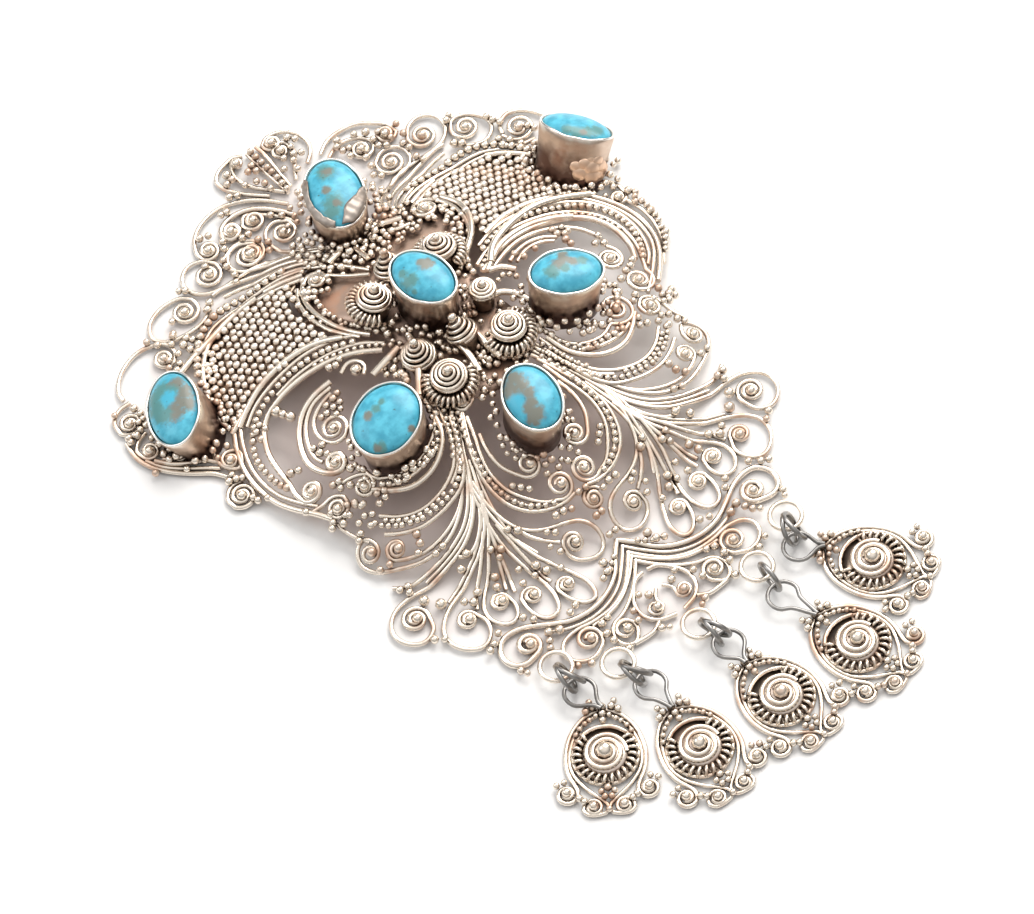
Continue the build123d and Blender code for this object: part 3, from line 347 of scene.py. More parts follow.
LONE_ROWS = [
    (0.8, 0.05, 0.84, [(9.0, 20.1), (10.7, 20.9), (12.3, 21.4), (15.0, 21.7), (17.3, 21.5), (19.4, 21.0),
     (21.6, 20.2), (23.2, 18.9), (24.2, 17.2), (24.6, 15.2), (24.4, 13.2), (23.7, 11.3), (22.9, 9.9)]),
    (0.66, 0.0, 0.72, [(7.4, 18.0), (9.4, 19.2), (11.8, 20.0), (14.4, 20.3), (17.0, 20.1), (19.6, 19.5),
     (21.4, 18.4), (22.8, 16.8), (23.3, 15.0)]),
    (0.74, 0.0, 0.85, [(27.9, 18.2), (28.2, 16.6), (28.2, 14.8), (27.8, 13.2), (27.0, 11.4), (25.6, 9.6)]),
    (0.8, 0.05, 0.84, [(-9.2, 19.3), (-11.2, 20.4), (-13.6, 21.2), (-16.2, 21.5), (-18.6, 21.3),
     (-20.8, 20.7), (-22.6, 19.7), (-23.9, 18.2), (-24.7, 16.4), (-24.9, 14.4), (-24.7, 12.2),
     (-24.1, 10.6)]),
    (0.66, 0.05, 0.85, [(4.4, 20.6), (6.0, 21.4), (7.8, 22.9), (9.0, 24.6), (9.5, 26.8), (9.2, 28.8)]),
    (0.6, 0.05, 0.8, [(3.2, 27.6), (4.0, 28.3), (5.0, 28.6), (6.2, 28.5)]),
    (0.66, 0.05, 0.85, [(-7.0, 19.6), (-8.0, 21.4), (-8.7, 23.6), (-8.9, 25.8), (-8.6, 27.8)]),
    (0.66, 0.05, 0.8, [(7.6, 15.3), (8.4, 15.6), (9.2, 15.1), (9.6, 14.4)]),
    (0.7, 0.1, 0.8, [(8.9, 11.2), (9.2, 10.0), (8.9, 8.8)]),
    (0.66, 0.05, 0.8, [(-13.9, 21.4), (-16.2, 21.6)]),
    (0.6, 0.0, 0.78, [(-6.4, 15.9), (-8.0, 17.4), (-9.9, 18.6), (-12.0, 19.6), (-14.4, 20.3)]),
    (0.8, 0.1, 0.95, [(-1.5, 44.2), (-1.5, 47.0), (-1.7, 49.6), (-1.8, 51.2)]),
    (0.8, 0.3, 0.95, [(0.7, 9.4), (0.7, 6.8)]),
]

# Granules of the right half in twos and threes, each mirrored on the left, and then those of one
# side alone: place and size
GRAINS = [
    (20.0, -8.7, 1.15), (19.3, -10.3, 1.2), (15.2, -8.6, 0.95), (13.8, -7.9, 0.9), (20.6, -6.4, 0.85),
    (21.5, -6.2, 0.85), (20.9, -7.1, 0.8), (15.3, -5.7, 0.8), (16.3, -5.8, 0.8), (16.7, -3.0, 0.9),
    (17.0, -4.0, 0.9), (17.7, -4.5, 0.8), (20.7, -3.3, 0.8), (21.8, -3.0, 0.8), (10.6, -9.8, 0.9),
    (11.5, -9.2, 0.8), (11.2, -10.3, 0.8), (12.8, -11.5, 0.95), (13.3, -12.5, 0.95), (15.3, -11.7, 0.95),
    (16.3, -12.4, 0.95), (17.2, -11.6, 0.85), (22.0, -13.6, 0.9), (21.3, -14.1, 0.75), (10.6, -12.4, 0.8),
    (10.8, -13.5, 0.85), (8.0, -9.4, 1.0), (8.8, -8.7, 0.8), (8.6, -13.2, 1.0), (8.0, -14.2, 1.0),
    (9.3, -13.9, 0.8), (2.9, -10.8, 0.9), (3.8, -10.5, 0.9), (4.9, -11.8, 0.8), (5.6, -11.3, 0.75),
    (5.8, -13.5, 0.8), (6.3, -12.7, 0.7), (0.2, -12.8, 0.85), (0.2, -15.0, 0.8), (2.9, -17.2, 1.0),
    (3.1, -18.4, 0.9), (3.9, -18.8, 0.8), (8.4, -19.6, 0.85), (9.1, -19.9, 0.8), (11.2, -20.9, 0.95),
    (12.3, -20.4, 0.95), (12.8, -21.3, 0.8), (13.1, -17.4, 0.85), (12.6, -18.1, 0.8), (16.5, -17.1, 0.8),
    (17.6, -17.9, 0.8), (18.4, -18.3, 0.85), (17.6, -22.6, 0.8), (16.9, -23.0, 0.7), (7.3, -23.2, 0.9),
    (6.4, -22.9, 0.8), (7.6, -24.4, 0.9), (7.5, -25.5, 0.85), (2.6, -27.6, 0.85), (1.6, -28.2, 0.7),
    (4.1, -25.2, 0.8), (3.8, -24.0, 0.75), (1.7, -23.2, 0.9), (2.2, -22.8, 0.75), (6.9, -27.4, 0.9),
    (11.0, -26.4, 0.85), (12.4, -25.8, 0.75), (13.6, -22.6, 0.8), (14.6, -23.1, 0.7), (6.6, -14.9, 0.8),
    (17.8, 7.4, 0.95), (17.1, 6.7, 0.8), (18.9, 6.0, 0.9), (18.2, 5.3, 0.8), (19.6, 3.9, 0.9),
    (18.9, 3.3, 0.8), (20.4, 4.6, 0.85), (21.2, 3.9, 0.8), (22.2, 5.2, 0.85), (22.6, 4.3, 0.8),
    (21.6, 4.7, 0.75), (17.3, 3.2, 0.85), (16.9, 2.3, 0.8), (18.1, 2.2, 0.85), (19.0, 1.9, 0.8),
    (19.8, 2.4, 0.8), (19.8, 1.1, 0.85), (21.0, 1.3, 0.85), (20.6, 2.2, 0.8), (21.7, 0.8, 0.8),
    (12.9, 2.7, 0.9), (13.8, 2.6, 0.85), (13.2, 4.4, 0.85), (12.5, 5.2, 0.8), (11.5, 5.6, 0.8),
    (10.6, 5.4, 0.75), (11.9, 4.1, 0.75), (11.0, 4.5, 0.75), (14.3, 5.4, 0.7), (14.9, 2.8, 0.8),
    (10.2, 2.6, 0.8), (11.2, 2.3, 0.75), (12.3, 38.4, 0.8), (12.7, 37.5, 0.75), (16.6, 37.1, 0.95),
    (17.3, 36.5, 0.95), (21.9, 36.9, 0.85), (22.3, 36.1, 0.8), (21.6, 37.7, 0.8), (12.2, 40.8, 0.8),
    (12.4, 39.9, 0.8), (17.8, 40.2, 0.85), (18.4, 40.6, 0.75), (20.8, 34.3, 0.85), (21.7, 33.4, 0.9),
    (20.9, 33.0, 0.75), (22.4, 32.2, 0.85), (24.4, 33.7, 0.8), (24.9, 32.9, 0.8), (7.4, 38.6, 0.8),
    (7.6, 40.6, 0.8), (6.9, 39.6, 0.8), (5.4, -5.4, 0.8), (4.9, -6.3, 0.85), (4.2, -7.0, 0.8),
    (3.6, -3.4, 0.7), (1.2, -5.8, 0.8), (0.4, -6.6, 0.8), (1.9, -6.6, 0.75), (0.3, -9.9, 0.8),
    (1.9, -10.9, 0.75),
]
LONE_GRAINS = [
    (20.5, 13.7, 0.9), (19.6, 14.1, 0.85), (20.6, 15.0, 0.8), (21.7, 10.2, 0.9), (20.9, 9.5, 0.9),
    (20.1, 9.2, 0.85), (18.3, 8.9, 0.9), (17.8, 8.2, 0.8), (16.8, 18.2, 0.85), (16.9, 17.4, 0.9),
    (17.6, 17.0, 0.85), (17.2, 16.2, 0.9), (17.3, 15.4, 0.8), (17.9, 18.0, 0.8), (18.2, 17.2, 0.75),
    (27.8, 19.3, 0.95), (28.3, 18.6, 0.8), (27.5, 17.6, 0.8), (28.1, 15.6, 0.9), (27.7, 12.2, 0.9),
    (27.2, 11.6, 0.85), (22.4, 4.5, 1.0), (23.0, 4.9, 0.9), (22.9, 4.1, 0.85), (21.9, 3.8, 0.9),
    (25.9, 23.6, 0.8), (26.6, 23.0, 0.85), (27.3, 22.8, 0.8), (24.0, 22.2, 0.95), (23.3, 21.9, 0.85),
    (13.6, 16.6, 0.7), (11.3, 17.4, 0.8), (11.9, 16.5, 0.75), (12.6, 4.6, 0.8), (13.4, 4.3, 0.8),
    (12.0, 4.9, 0.75), (-11.1, 16.2, 1.25), (-12.9, 18.6, 0.9), (-12.2, 18.3, 0.85), (-11.5, 18.6, 0.8),
    (-22.9, 18.9, 0.9), (-22.2, 19.3, 0.85), (-22.0, 18.4, 0.8), (-23.0, 17.8, 0.85), (-22.9, 12.0, 0.95),
    (-22.3, 11.6, 0.85), (-19.4, 11.3, 0.9), (-18.8, 11.8, 0.85), (-19.0, 10.6, 0.8), (-19.7, 12.2, 0.8),
    (-14.8, 15.2, 0.9), (-14.1, 15.4, 0.8), (-15.8, 15.0, 0.8), (-15.3, 14.2, 0.85), (-16.3, 14.3, 0.8),
    (-14.5, 14.3, 0.8), (-15.6, 13.4, 0.8), (-14.9, 13.6, 0.7), (-17.0, 14.4, 0.75), (-19.9, 7.2, 0.9),
    (-20.6, 7.4, 0.85), (-20.2, 6.5, 0.8), (-24.4, 7.4, 0.9), (-23.4, 3.9, 0.85), (-22.2, 3.4, 0.9),
    (-21.2, 3.6, 0.8), (-20.0, 4.2, 0.85), (-19.7, 3.4, 0.8), (-16.9, 2.9, 0.85), (-16.1, 3.1, 0.75),
    (-15.2, 2.7, 0.8), (-14.2, 2.3, 0.85), (-13.1, 2.5, 0.8), (-12.1, 2.2, 0.8), (-10.9, 2.7, 0.85),
    (-22.1, 29.8, 1.0), (-21.4, 30.2, 0.75), (-21.5, 29.2, 0.75), (-22.6, 29.1, 0.75),
    (-22.9, 30.0, 0.75), (-22.3, 30.6, 0.75), (-20.6, 31.3, 0.95), (-19.9, 31.7, 0.75),
    (-21.2, 31.8, 0.75), (-20.2, 30.6, 0.7), (-22.9, 27.2, 0.75), (-23.2, 26.4, 0.75),
    (-23.5, 25.5, 0.75), (-23.8, 21.8, 0.9), (-23.0, 22.1, 0.85), (-24.7, 32.1, 0.85), (-24.0, 32.6, 0.8),
    (-23.3, 35.3, 0.8), (-22.4, 34.4, 0.85), (-25.3, 37.3, 0.8), (-24.6, 36.2, 0.8), (-31.8, 29.2, 0.8),
    (-31.2, 29.3, 0.75), (-33.4, 31.6, 0.75), (-33.8, 28.2, 0.85), (-33.1, 28.1, 0.8), (-34.2, 22.6, 0.8),
    (-32.0, 24.0, 0.8), (-31.2, 24.1, 0.75), (-30.0, 22.4, 0.8), (-29.2, 22.7, 0.8), (-28.4, 22.4, 0.8),
    (-27.6, 16.4, 0.85), (-27.0, 16.1, 0.8), (-27.2, 12.6, 0.85), (-27.5, 13.3, 0.8), (-9.0, 29.3, 1.2),
    (-9.3, 28.3, 0.95), (-3.4, 21.4, 0.8), (-4.8, 18.6, 1.1), (-4.1, 18.9, 0.75), (-5.5, 18.4, 0.75),
    (-4.6, 17.8, 0.75), (-8.7, 14.0, 0.95), (-8.0, 13.2, 0.95), (-7.2, 14.0, 0.95), (-8.9, 13.2, 0.8),
    (-7.5, 11.8, 1.1), (-7.7, 10.6, 0.9), (-6.4, 13.4, 0.85), (-7.6, 7.8, 0.85), (-7.0, 8.4, 0.8),
    (7.9, 7.9, 1.35), (8.7, 7.4, 0.85), (7.2, 7.2, 0.85), (4.5, 7.1, 1.2), (5.3, 6.7, 0.85),
    (3.6, 6.0, 0.9), (8.2, 9.4, 0.8), (8.0, 10.2, 0.75), (0.5, 32.4, 0.9), (1.4, 31.9, 0.85),
    (2.0, 31.0, 0.8), (3.9, 30.0, 0.8), (4.6, 29.8, 0.75), (1.7, 29.0, 0.8), (-5.9, 29.2, 0.75),
    (-6.2, 28.4, 0.7), (-8.0, 28.4, 0.7), (-7.4, 27.8, 0.65), (-6.6, 27.4, 0.65), (7.2, 28.2, 0.7),
    (7.9, 27.6, 0.7), (8.4, 26.8, 0.65), (8.4, 25.8, 0.65), (6.1, 45.2, 0.85), (6.4, 44.2, 0.8),
    (7.9, 41.9, 0.8), (9.9, 43.4, 0.8), (10.9, 43.9, 0.8), (11.6, 42.4, 0.75), (1.8, 47.6, 0.9),
    (2.1, 48.6, 0.8), (0.6, 47.8, 0.8), (0.1, 46.6, 0.8), (1.0, 45.6, 0.8), (-3.6, 47.2, 0.8),
    (-3.0, 46.4, 0.8), (-2.9, 45.4, 0.75), (-4.9, 47.6, 0.75), (-2.6, 32.7, 0.95), (-3.3, 31.9, 0.8),
    (-1.8, 31.9, 0.85), (-0.8, 31.4, 0.85), (-1.9, 30.5, 0.8), (-2.5, 29.9, 0.75), (0.0, 30.9, 0.8),
    (0.2, 29.7, 0.85), (0.9, 29.2, 0.85), (0.7, 31.6, 0.8), (1.1, 30.3, 0.7), (2.2, 31.7, 0.95),
    (-8.7, 28.9, 1.0), (5.5, 27.5, 0.7), (4.8, 27.9, 0.65), (9.7, 28.7, 0.85), (9.4, 27.3, 0.7),
    (9.5, 26.0, 0.7), (9.2, 24.8, 0.65), (3.5, 14.4, 1.1), (2.4, 13.9, 0.8), (2.9, 13.2, 0.75),
    (1.2, 10.0, 0.8), (0.9, 9.1, 0.8), (1.1, 8.3, 0.8), (1.3, 7.5, 0.8), (0.5, 7.8, 0.75),
    (2.8, 6.6, 1.0), (3.3, 5.9, 0.8), (4.6, 6.6, 1.3), (-6.6, 13.9, 0.9), (-7.8, 13.3, 0.9),
    (-7.5, 11.6, 1.0), (-6.3, 10.0, 0.9), (-8.2, 12.4, 0.8), (-6.8, 12.6, 0.8), (-1.0, 13.6, 1.2),
    (-2.4, 15.0, 0.8), (-1.8, 10.4, 0.8), (-2.3, 11.6, 0.8), (0.2, 4.6, 0.8), (-1.2, 5.2, 0.75),
    (-20.0, 19.0, 1.2), (-19.7, 18.1, 1.0), (-19.3, 17.2, 1.15), (-5.9, 50.2, 1.0), (-5.6, 49.2, 0.9),
    (-6.4, 49.0, 0.8), (-3.0, 49.4, 0.9), (-2.8, 48.4, 0.85), (-3.6, 48.9, 0.8), (2.5, 49.9, 0.9),
    (3.1, 49.2, 0.8), (1.3, 46.9, 0.8), (2.6, 47.2, 0.8), (-7.2, 47.4, 0.9), (-6.4, 47.0, 0.8),
    (-8.6, 45.9, 0.9), (-9.3, 46.0, 0.8), (-12.9, 44.9, 0.9), (-12.0, 44.6, 0.8), (-11.2, 42.9, 0.85),
    (-11.6, 42.0, 0.8), (-8.3, 42.0, 0.85), (-9.2, 41.9, 0.8), (-5.0, 42.4, 0.8), (-4.0, 41.6, 0.8),
    (-14.6, 41.4, 0.8), (9.8, 44.8, 0.95), (8.6, 45.4, 0.8), (7.1, 44.2, 0.8), (6.6, 43.2, 0.8),
    (6.6, 45.9, 0.9), (9.9, 42.3, 0.8), (10.6, 41.8, 0.8), (13.3, 43.6, 0.8), (13.0, 41.9, 0.8),
    (7.8, 41.9, 0.8), (-22.3, 34.4, 0.95), (-21.6, 34.9, 0.9), (-23.4, 33.8, 0.8), (-31.2, 31.0, 0.9),
    (-31.0, 30.0, 0.8), (-31.4, 28.4, 0.8), (-32.9, 27.9, 0.9), (-32.2, 28.3, 0.8), (-33.9, 27.6, 0.8),
    (-31.8, 26.6, 0.8), (-31.9, 24.1, 0.9), (-29.6, 21.3, 0.8), (-28.9, 20.6, 0.8), (-27.9, 22.0, 0.85),
    (-28.4, 16.6, 0.9), (-27.7, 17.1, 0.8), (-26.4, 12.0, 0.8),
]

# Sheets under the relief, right half: the middle round the cones, and the granule field
MIDDLE = [
    (0.0, 32.8), (3.6, 33.0), (7.4, 32.0), (10.2, 30.6), (10.9, 28.0), (10.5, 25.4), (9.0, 22.9),
    (7.2, 20.6), (6.4, 18.0), (6.2, 14.0), (6.8, 10.6), (6.2, 7.6), (4.8, 5.4), (2.5, 4.2), (0.0, 3.8),
]
FIELD = [
    (8.2, 31.4), (11.0, 32.9), (14.4, 33.7), (17.8, 33.4), (20.6, 31.7), (22.6, 29.4), (23.7, 26.8),
    (24.2, 24.0), (24.0, 21.8), (21.0, 22.6), (17.0, 23.1), (13.4, 22.8), (10.4, 22.0), (10.8, 25.2),
    (11.0, 28.0), (10.2, 30.4),
]
MIDDLE_LEVEL = -0.75
MIDDLE_THICK = 0.3
FIELD_LEVEL = -0.3
FIELD_THICK = 0.35
LEFT_SHIFT = 0.55
SHEET_CUTS = 7

# The staggered granules of a field
FIELD_MIDDLE = (16.5, 28.0)
FIELD_ROWS = 9
FIELD_STEPS = 14
FIELD_PITCH = 0.86
FIELD_ROW = 1.0
FIELD_TURN = -6.0
FIELD_JITTER = 0.11
FIELD_GRAIN = (0.84, 1.04)
FIELD_SPREAD = (0.0, 0.1)

# Granules strewn over the middle, and the places that they keep clear of
CLUTTER_GAP = 0.86
CLUTTER_TRIES = 2600
CLUTTER_ACROSS = (-10.5, 10.5)
CLUTTER_ALONG = (4.2, 32.6)
CLUTTER_SPREAD = (-0.35, 0.15)
CLUTTER_GRAIN = (0.62, 0.98)
CONE_CLEAR = 0.35
CALM = [
    ((4.6, 24.6), 3.7), ((6.0, 27.4), 2.4), ((-5.0, 24.2), 3.7), ((-6.4, 26.6), 2.6), ((0.0, 17.7), 3.3),
]

# Stones: foot, cup height, length, width, turn, lean, and how far the outline goes in or out
# at even angles from the long axis, counterclockwise
STONE_COLUMNS = ("name", "x", "y", "height", "long", "short", "turn", "lean", "outline")
STONES = [
    ("stone_top", 0.3, 36.0, 5.6, 8.8, 6.0, 70, 0.0, (1.0, 1.0, 0.93, 0.98, 1.0, 1.0, 1.0, 1.0)),
    ("stone_middle", -0.1, 17.7, 5.6, 7.5, 5.2, 103, 0.0, (1.0, 1.0, 1.0, 1.0, 1.0, 1.0, 1.0, 1.0)),
    ("stone_low", 0.3, -0.5, 5.3, 7.5, 5.5, 83, 0.7, (1.0, 0.95, 0.98, 1.0, 1.0, 1.0, 1.0, 1.02)),
    ("stone_right_wing", 24.8, 26.3, 5.0, 7.7, 5.4, 122, 1.3, (1.0, 1.0, 1.0, 1.0, 1.0, 1.0, 1.0, 1.0)),
    ("stone_left_wing", -27.3, 25.6, 4.2, 8.8, 5.6, 66, 0.7, (1.0, 1.0, 1.0, 1.0, 1.0, 1.0, 1.0, 1.0)),
    ("stone_right_side", 11.9, 9.3, 5.3, 7.5, 5.3, 158, 0.7, (1.0, 1.0, 1.0, 1.0, 1.0, 1.0, 1.0, 1.0)),
    ("stone_left_side", -12.3, 7.3, 4.4, 8.0, 6.7, 25, 0.7, (1.0, 1.0, 1.0, 1.0, 1.0, 1.0, 1.0, 1.0)),
]
GIRDLE_DROP = 0.22
STONE_RISE = 1.22
STONE_GROW = 1.03
STONE_BACK = 0.6
STONE_SIDES = (64, 32)

# A cup's wall, foot to rim and down inside: height over its rim, and width over the stone
CUP = [
    (-6.6, 0.2), (-5.0, 0.16), (-3.6, 0.2), (-2.2, 0.3), (-1.2, 0.42), (-0.6, 0.5), (-0.1, 0.5),
    (0.0, 0.42), (0.0, 0.24), (-0.1, 0.14), (-0.5, 0.1), (-2.0, 0.0), (-6.6, -0.2),
]
CUP_FOOT = 0.12
CUP_DEPTH = 4.5
CUP_SIDES = 72
WAVE_REACH = 1.0
WAVE_HIGH = 0.06
WAVE_COUNT = 3
RIPPLE_HIGH = 0.04
RIPPLE_COUNT = 7

# Gilt lumps on the right wing's cup: direction in degrees, depth under its rim, reach
GILT_LUMPS = [
    (-136, 3.5, 0.7), (-126, 3.1, 0.8), (-114, 3.5, 1.0), (-104, 2.6, 0.7), (-92, 3.4, 0.9),
    (-130, 4.2, 0.9), (-110, 4.4, 1.05), (-88, 4.3, 0.85), (-118, 2.5, 0.5), (-74, 3.8, 0.8),
]
LUMP_FLAT = 0.38
LUMP_OUT = 0.2

# Granules heaped round each cup's foot: how far from its wall, how many, and how high against it
HEAP_COLUMNS = ("reach", "count", "high")
HEAPS = {
    "stone_top": (3.0, 100, 1.2),
    "stone_middle": (1.7, 34, 1.0),
    "stone_low": (1.2, 34, 1.1),
    "stone_right_wing": (1.5, 60, 1.6),
    "stone_left_wing": (1.1, 34, 1.2),
    "stone_right_side": (1.7, 56, 1.5),
    "stone_left_side": (1.1, 34, 0.9),
}
HEAP_CLEAR = 0.45
HEAP_GAP = 0.74
HEAP_TRIES = 4
HEAP_SPREAD = (-0.3, 0.15)
HEAP_GRAIN = (0.72, 0.98)

# The bright edge that is rubbed over each stone
RIM_WIRE = 0.3
RIM_OUT = 0.34
RIM_SUNK = 0.05
RIM_STEPS = 60

# Torn leaves of the top cup's rim, folded over its stone: along it and across it
LEAVES = [
    [(-4.5, 0.3), (-3.6, -0.2), (-2.6, -0.6), (-2.0, -1.35), (-1.5, -2.2), (-0.6, -2.85), (-0.4, -3.4),
     (-1.6, -3.3), (-2.9, -2.85), (-3.9, -2.0), (-4.6, -1.0)],
    [(2.8, 2.7), (2.2, 2.45), (1.6, 2.55), (0.8, 2.75), (-0.5, 2.85), (-1.6, 2.6), (-2.9, 2.0), (-4.0, 0.9),
     (-4.6, 1.1), (-4.0, 2.1), (-2.7, 2.95), (-0.9, 3.4), (1.3, 3.35), (2.5, 3.0)],
]
LEAF_CUTS = 4
LEAF_THICK = 0.22
LEAF_SUNK = 0.1
LEAF_RISE = 1.25
LEAF_REACH = 0.5
LEAF_BUMP = 0.09
LEAF_WAVES = (5, 4)

# Patches of each stone: along it, across it, reach and tone
STONE_TONES = {
    "grey": (0.19, 0.2, 0.17), "green": (0.09, 0.27, 0.27), "blue": (0.06, 0.44, 0.62),
    "dark": (0.03, 0.06, 0.055),
}
PATCHES = {
    "stone_top": [(2.6, 0.2, 1.3, "green"), (2.5, 0.1, 0.75, "grey"), (-1.7, 0.4, 1.4, "green"),
                  (-2.8, 1.0, 1.2, "green"), (0.1, 0.8, 0.65, "grey"), (-1.9, 0.1, 0.55, "grey")],
    "stone_middle": [(0.35, -1.1, 1.05, "grey"), (1.0, -0.9, 0.6, "grey"), (0.4, 1.6, 1.2, "green"),
                     (1.6, 1.4, 0.6, "green"), (-0.8, 2.2, 0.4, "green")],
    "stone_low": [(2.6, 0.9, 1.4, "grey"), (1.5, 1.7, 1.3, "grey"), (1.4, 0.5, 1.05, "grey"),
                  (0.3, 0.2, 0.8, "grey"), (-0.8, 0.4, 0.7, "grey"), (-1.2, 1.1, 0.9, "grey"),
                  (-2.1, 0.6, 1.15, "grey"), (-2.6, 1.2, 0.9, "grey"), (0.1, 1.9, 1.0, "blue"),
                  (-0.7, 2.3, 0.7, "blue")],
    "stone_right_wing": [(0.4, 2.3, 0.8, "green"), (-0.8, 2.2, 0.9, "green"), (-1.8, 1.6, 0.95, "green"),
                         (-2.6, 0.7, 0.95, "green"), (-1.4, 2.0, 0.5, "grey")],
    "stone_left_wing": [(2.3, 0.4, 1.2, "green"), (2.3, -1.3, 1.1, "grey"), (1.0, -2.0, 1.1, "grey"),
                        (-0.6, -2.0, 1.2, "grey"), (-1.2, -0.6, 1.35, "grey"), (-1.0, 0.9, 1.3, "green"),
                        (0.3, 1.7, 1.3, "green"), (1.7, 1.6, 1.2, "green"), (0.1, -1.0, 0.8, "grey"),
                        (1.5, -0.6, 1.0, "green"), (0.85, -0.2, 1.0, "blue")],
    "stone_right_side": [(0.0, -2.0, 0.65, "grey"), (0.1, -1.2, 0.85, "grey"), (0.8, -0.4, 1.0, "grey"),
                         (1.8, 0.3, 1.0, "green"), (-0.8, -0.5, 0.7, "grey"), (-1.8, -0.6, 0.7, "green"),
                         (0.2, 0.2, 0.6, "green")],
    "stone_left_side": [(-0.7, 1.6, 0.65, "grey"), (0.3, 1.2, 0.6, "green"), (1.3, 1.0, 0.5, "green"),
                        (-3.3, -1.2, 0.8, "green"), (-3.5, -1.0, 0.5, "grey"), (0.0, -3.2, 0.5, "grey")],
}

# Spiral cones: place, rim radius, heights of rim and tip, turns, coil ring, and how the tip leans
CONE_COLUMNS = ("x", "y", "rim", "low", "high", "turns", "coil", "lean_x", "lean_y")
CONES = [
    (4.6, 22.1, 1.95, 2.3, 3.3, 3.6, True, 0.0, 0.0),
    (-4.9, 21.5, 1.95, 2.1, 3.3, 3.6, True, 0.3, -0.15),
    (4.2, 8.8, 1.9, 2.4, 3.4, 3.6, True, 0.0, 0.0),
    (-4.2, 7.8, 1.95, 2.4, 3.4, 3.6, True, 0.0, 0.0),
    (4.8, 14.2, 1.45, 2.4, 2.9, 3.0, False, 0.0, 0.0),
    (-4.9, 12.7, 1.9, 0.9, 3.2, 4.4, False, 0.0, 0.0),
    (-0.3, 24.9, 1.7, 0.5, 2.6, 4.0, False, 0.0, 0.0),
    (0.3, 10.8, 1.7, 1.9, 3.8, 3.8, False, -0.15, 0.5),
]
CONE_WIRE = 0.44
CONE_STEPS = 22
CONE_INSET = 0.1
CONE_TIP = 0.28
CONE_BALL = 1.05
CONE_BALL_RISE = 0.15
SKIRT_STEPS = 30
SKIRT_DROP = 0.018
# The coil rings turn away from this height on the middle axis
CONES_Y = 17.5

# The cores' wall and slope, set in from the wound wire
CORE_SIDES = 20
CORE_WALL = 0.25
CORE_SLOPE = 0.2
CORE_TIP = 0.15
CORE_OVERLAP = 0.3
CORE_SUNK = 0.08

# The ring of radial turns on a cone's outer side
COIL_RING = 2.4
COIL_TUBE = 0.66
COIL_LEVEL = 0.95
COIL_TURNS = 19
COIL_SPAN = 235
COIL_WIRE = 0.36
COIL_STEPS = 9

# The chain of each drop: its plate ring, then how the bail and the drop lie
RING_REACH = 1.725
RING_WIRE = 0.55
RING_SIDES = 28
JUMP_REACH = 1.775
JUMP_INNER = 1.7
JUMP_LIFT = 0.13
JUMP_WIRE = 0.55
JUMP_TURNS = ((-0.3, 0.25), (-0.26, 0.26), (-0.26, 0.26), (0.0,), (-0.25, 0.3))
RING_LEVEL = 1.275
BAIL_REACH = 1.7
BAIL_WIRE = 0.46
BAIL_LENGTH = 5.0
BAIL_WIDTH = 3.9
BAIL_NECK = (0.12, 0.3)
BAIL_TAPER = 0.75
BAIL_ROUND = [(0.85, 1.45), (1.5, 0.75), (BAIL_REACH, -0.1), (1.25, -1.2), (0.0, -BAIL_REACH)]
RING_PLAY = 0.15
DROP_NECK = 5.25
CHAIN_COLUMNS = ("x", "y", "pull_turn", "slack", "bail_turn", "bail_share", "turn", "lean")
CHAINS = [
    (-14.4, -22.3, 2, 0.0, 13, 0.97, -33, 26),
    (-9.1, -26.1, 14, 0.35, 3, 1.08, -5, 30),
    (0.3, -27.7, 14, 0.0, 2, 0.95, 6, 12),
    (9.3, -26.1, 0, 0.5, 19, 1.22, 15, 5),
    (15.5, -23.1, -18, 0.0, 56, 0.94, 33, 26),
]

# The openwork's outline, inside which a soft shadow is painted on the floor
OUTLINE = [
    (-2.9, 51.4), (0.9, 51.2), (2.8, 50.4), (3.9, 47.4), (4.6, 45.6), (8.4, 45.6), (12.0, 44.0),
    (16.0, 41.5), (20.0, 40.5), (22.5, 38.5), (26.0, 36.6), (28.2, 33.0), (29.0, 29.0), (29.2, 26.0),
    (28.4, 22.0), (28.6, 18.0), (28.7, 14.0), (27.5, 11.0), (25.2, 8.0), (24.0, 5.0), (23.2, 2.0),
    (22.8, -2.0), (23.4, -5.0), (25.2, -8.0), (25.2, -11.0), (23.3, -13.4), (20.2, -15.4), (19.5, -19.0),
    (18.4, -21.5), (15.6, -23.8), (12.2, -26.2), (8.6, -26.8), (5.0, -28.4), (0.3, -29.6), (-5.0, -28.4),
    (-8.6, -26.8), (-12.2, -26.2), (-15.6, -23.8), (-18.4, -21.5), (-19.5, -19.0), (-20.2, -15.4),
    (-23.3, -13.4), (-25.2, -11.0), (-25.2, -8.0), (-23.4, -5.0), (-22.8, -2.0), (-23.2, 2.0),
    (-24.4, 5.0), (-26.6, 9.0), (-27.4, 12.0), (-29.4, 14.5), (-29.4, 17.0), (-32.4, 20.4), (-34.6, 23.5),
    (-34.8, 27.0), (-34.4, 30.5), (-31.8, 33.6), (-29.6, 36.0), (-26.0, 37.4), (-24.2, 39.6),
    (-20.0, 40.8), (-16.0, 42.6), (-12.0, 45.6), (-7.6, 47.0), (-7.2, 49.6), (-5.4, 51.3),
]
# The painted shadow: its fade inside the outline, its lighter rim round the dome, and its lighter right side
PAINTED_SHADOW_EDGE = (0.4, 2.4)
PAINTED_SHADOW_RIM = (29.0, 15.0)
PAINTED_SHADOW_RIM_LIGHT = 0.34
PAINTED_SHADOW_SIDE = (4.0, 20.0)
PAINTED_SHADOW_SIDE_LIGHT = 0.7
FLOOR_WIDE = 46.0
FLOOR_LONG = 62.0
FLOOR_REACH = 40.0
FLOOR_CUTS = (90, 120)
FLOOR_EDGE = 0.999
FLOOR_ROUGH = 0.7
FLOOR_TONE = (0.9, 0.9, 0.9)
# The painted shadow's colour on the floor
PAINTED_SHADOW_TONE = (0.6, 0.5, 0.47)

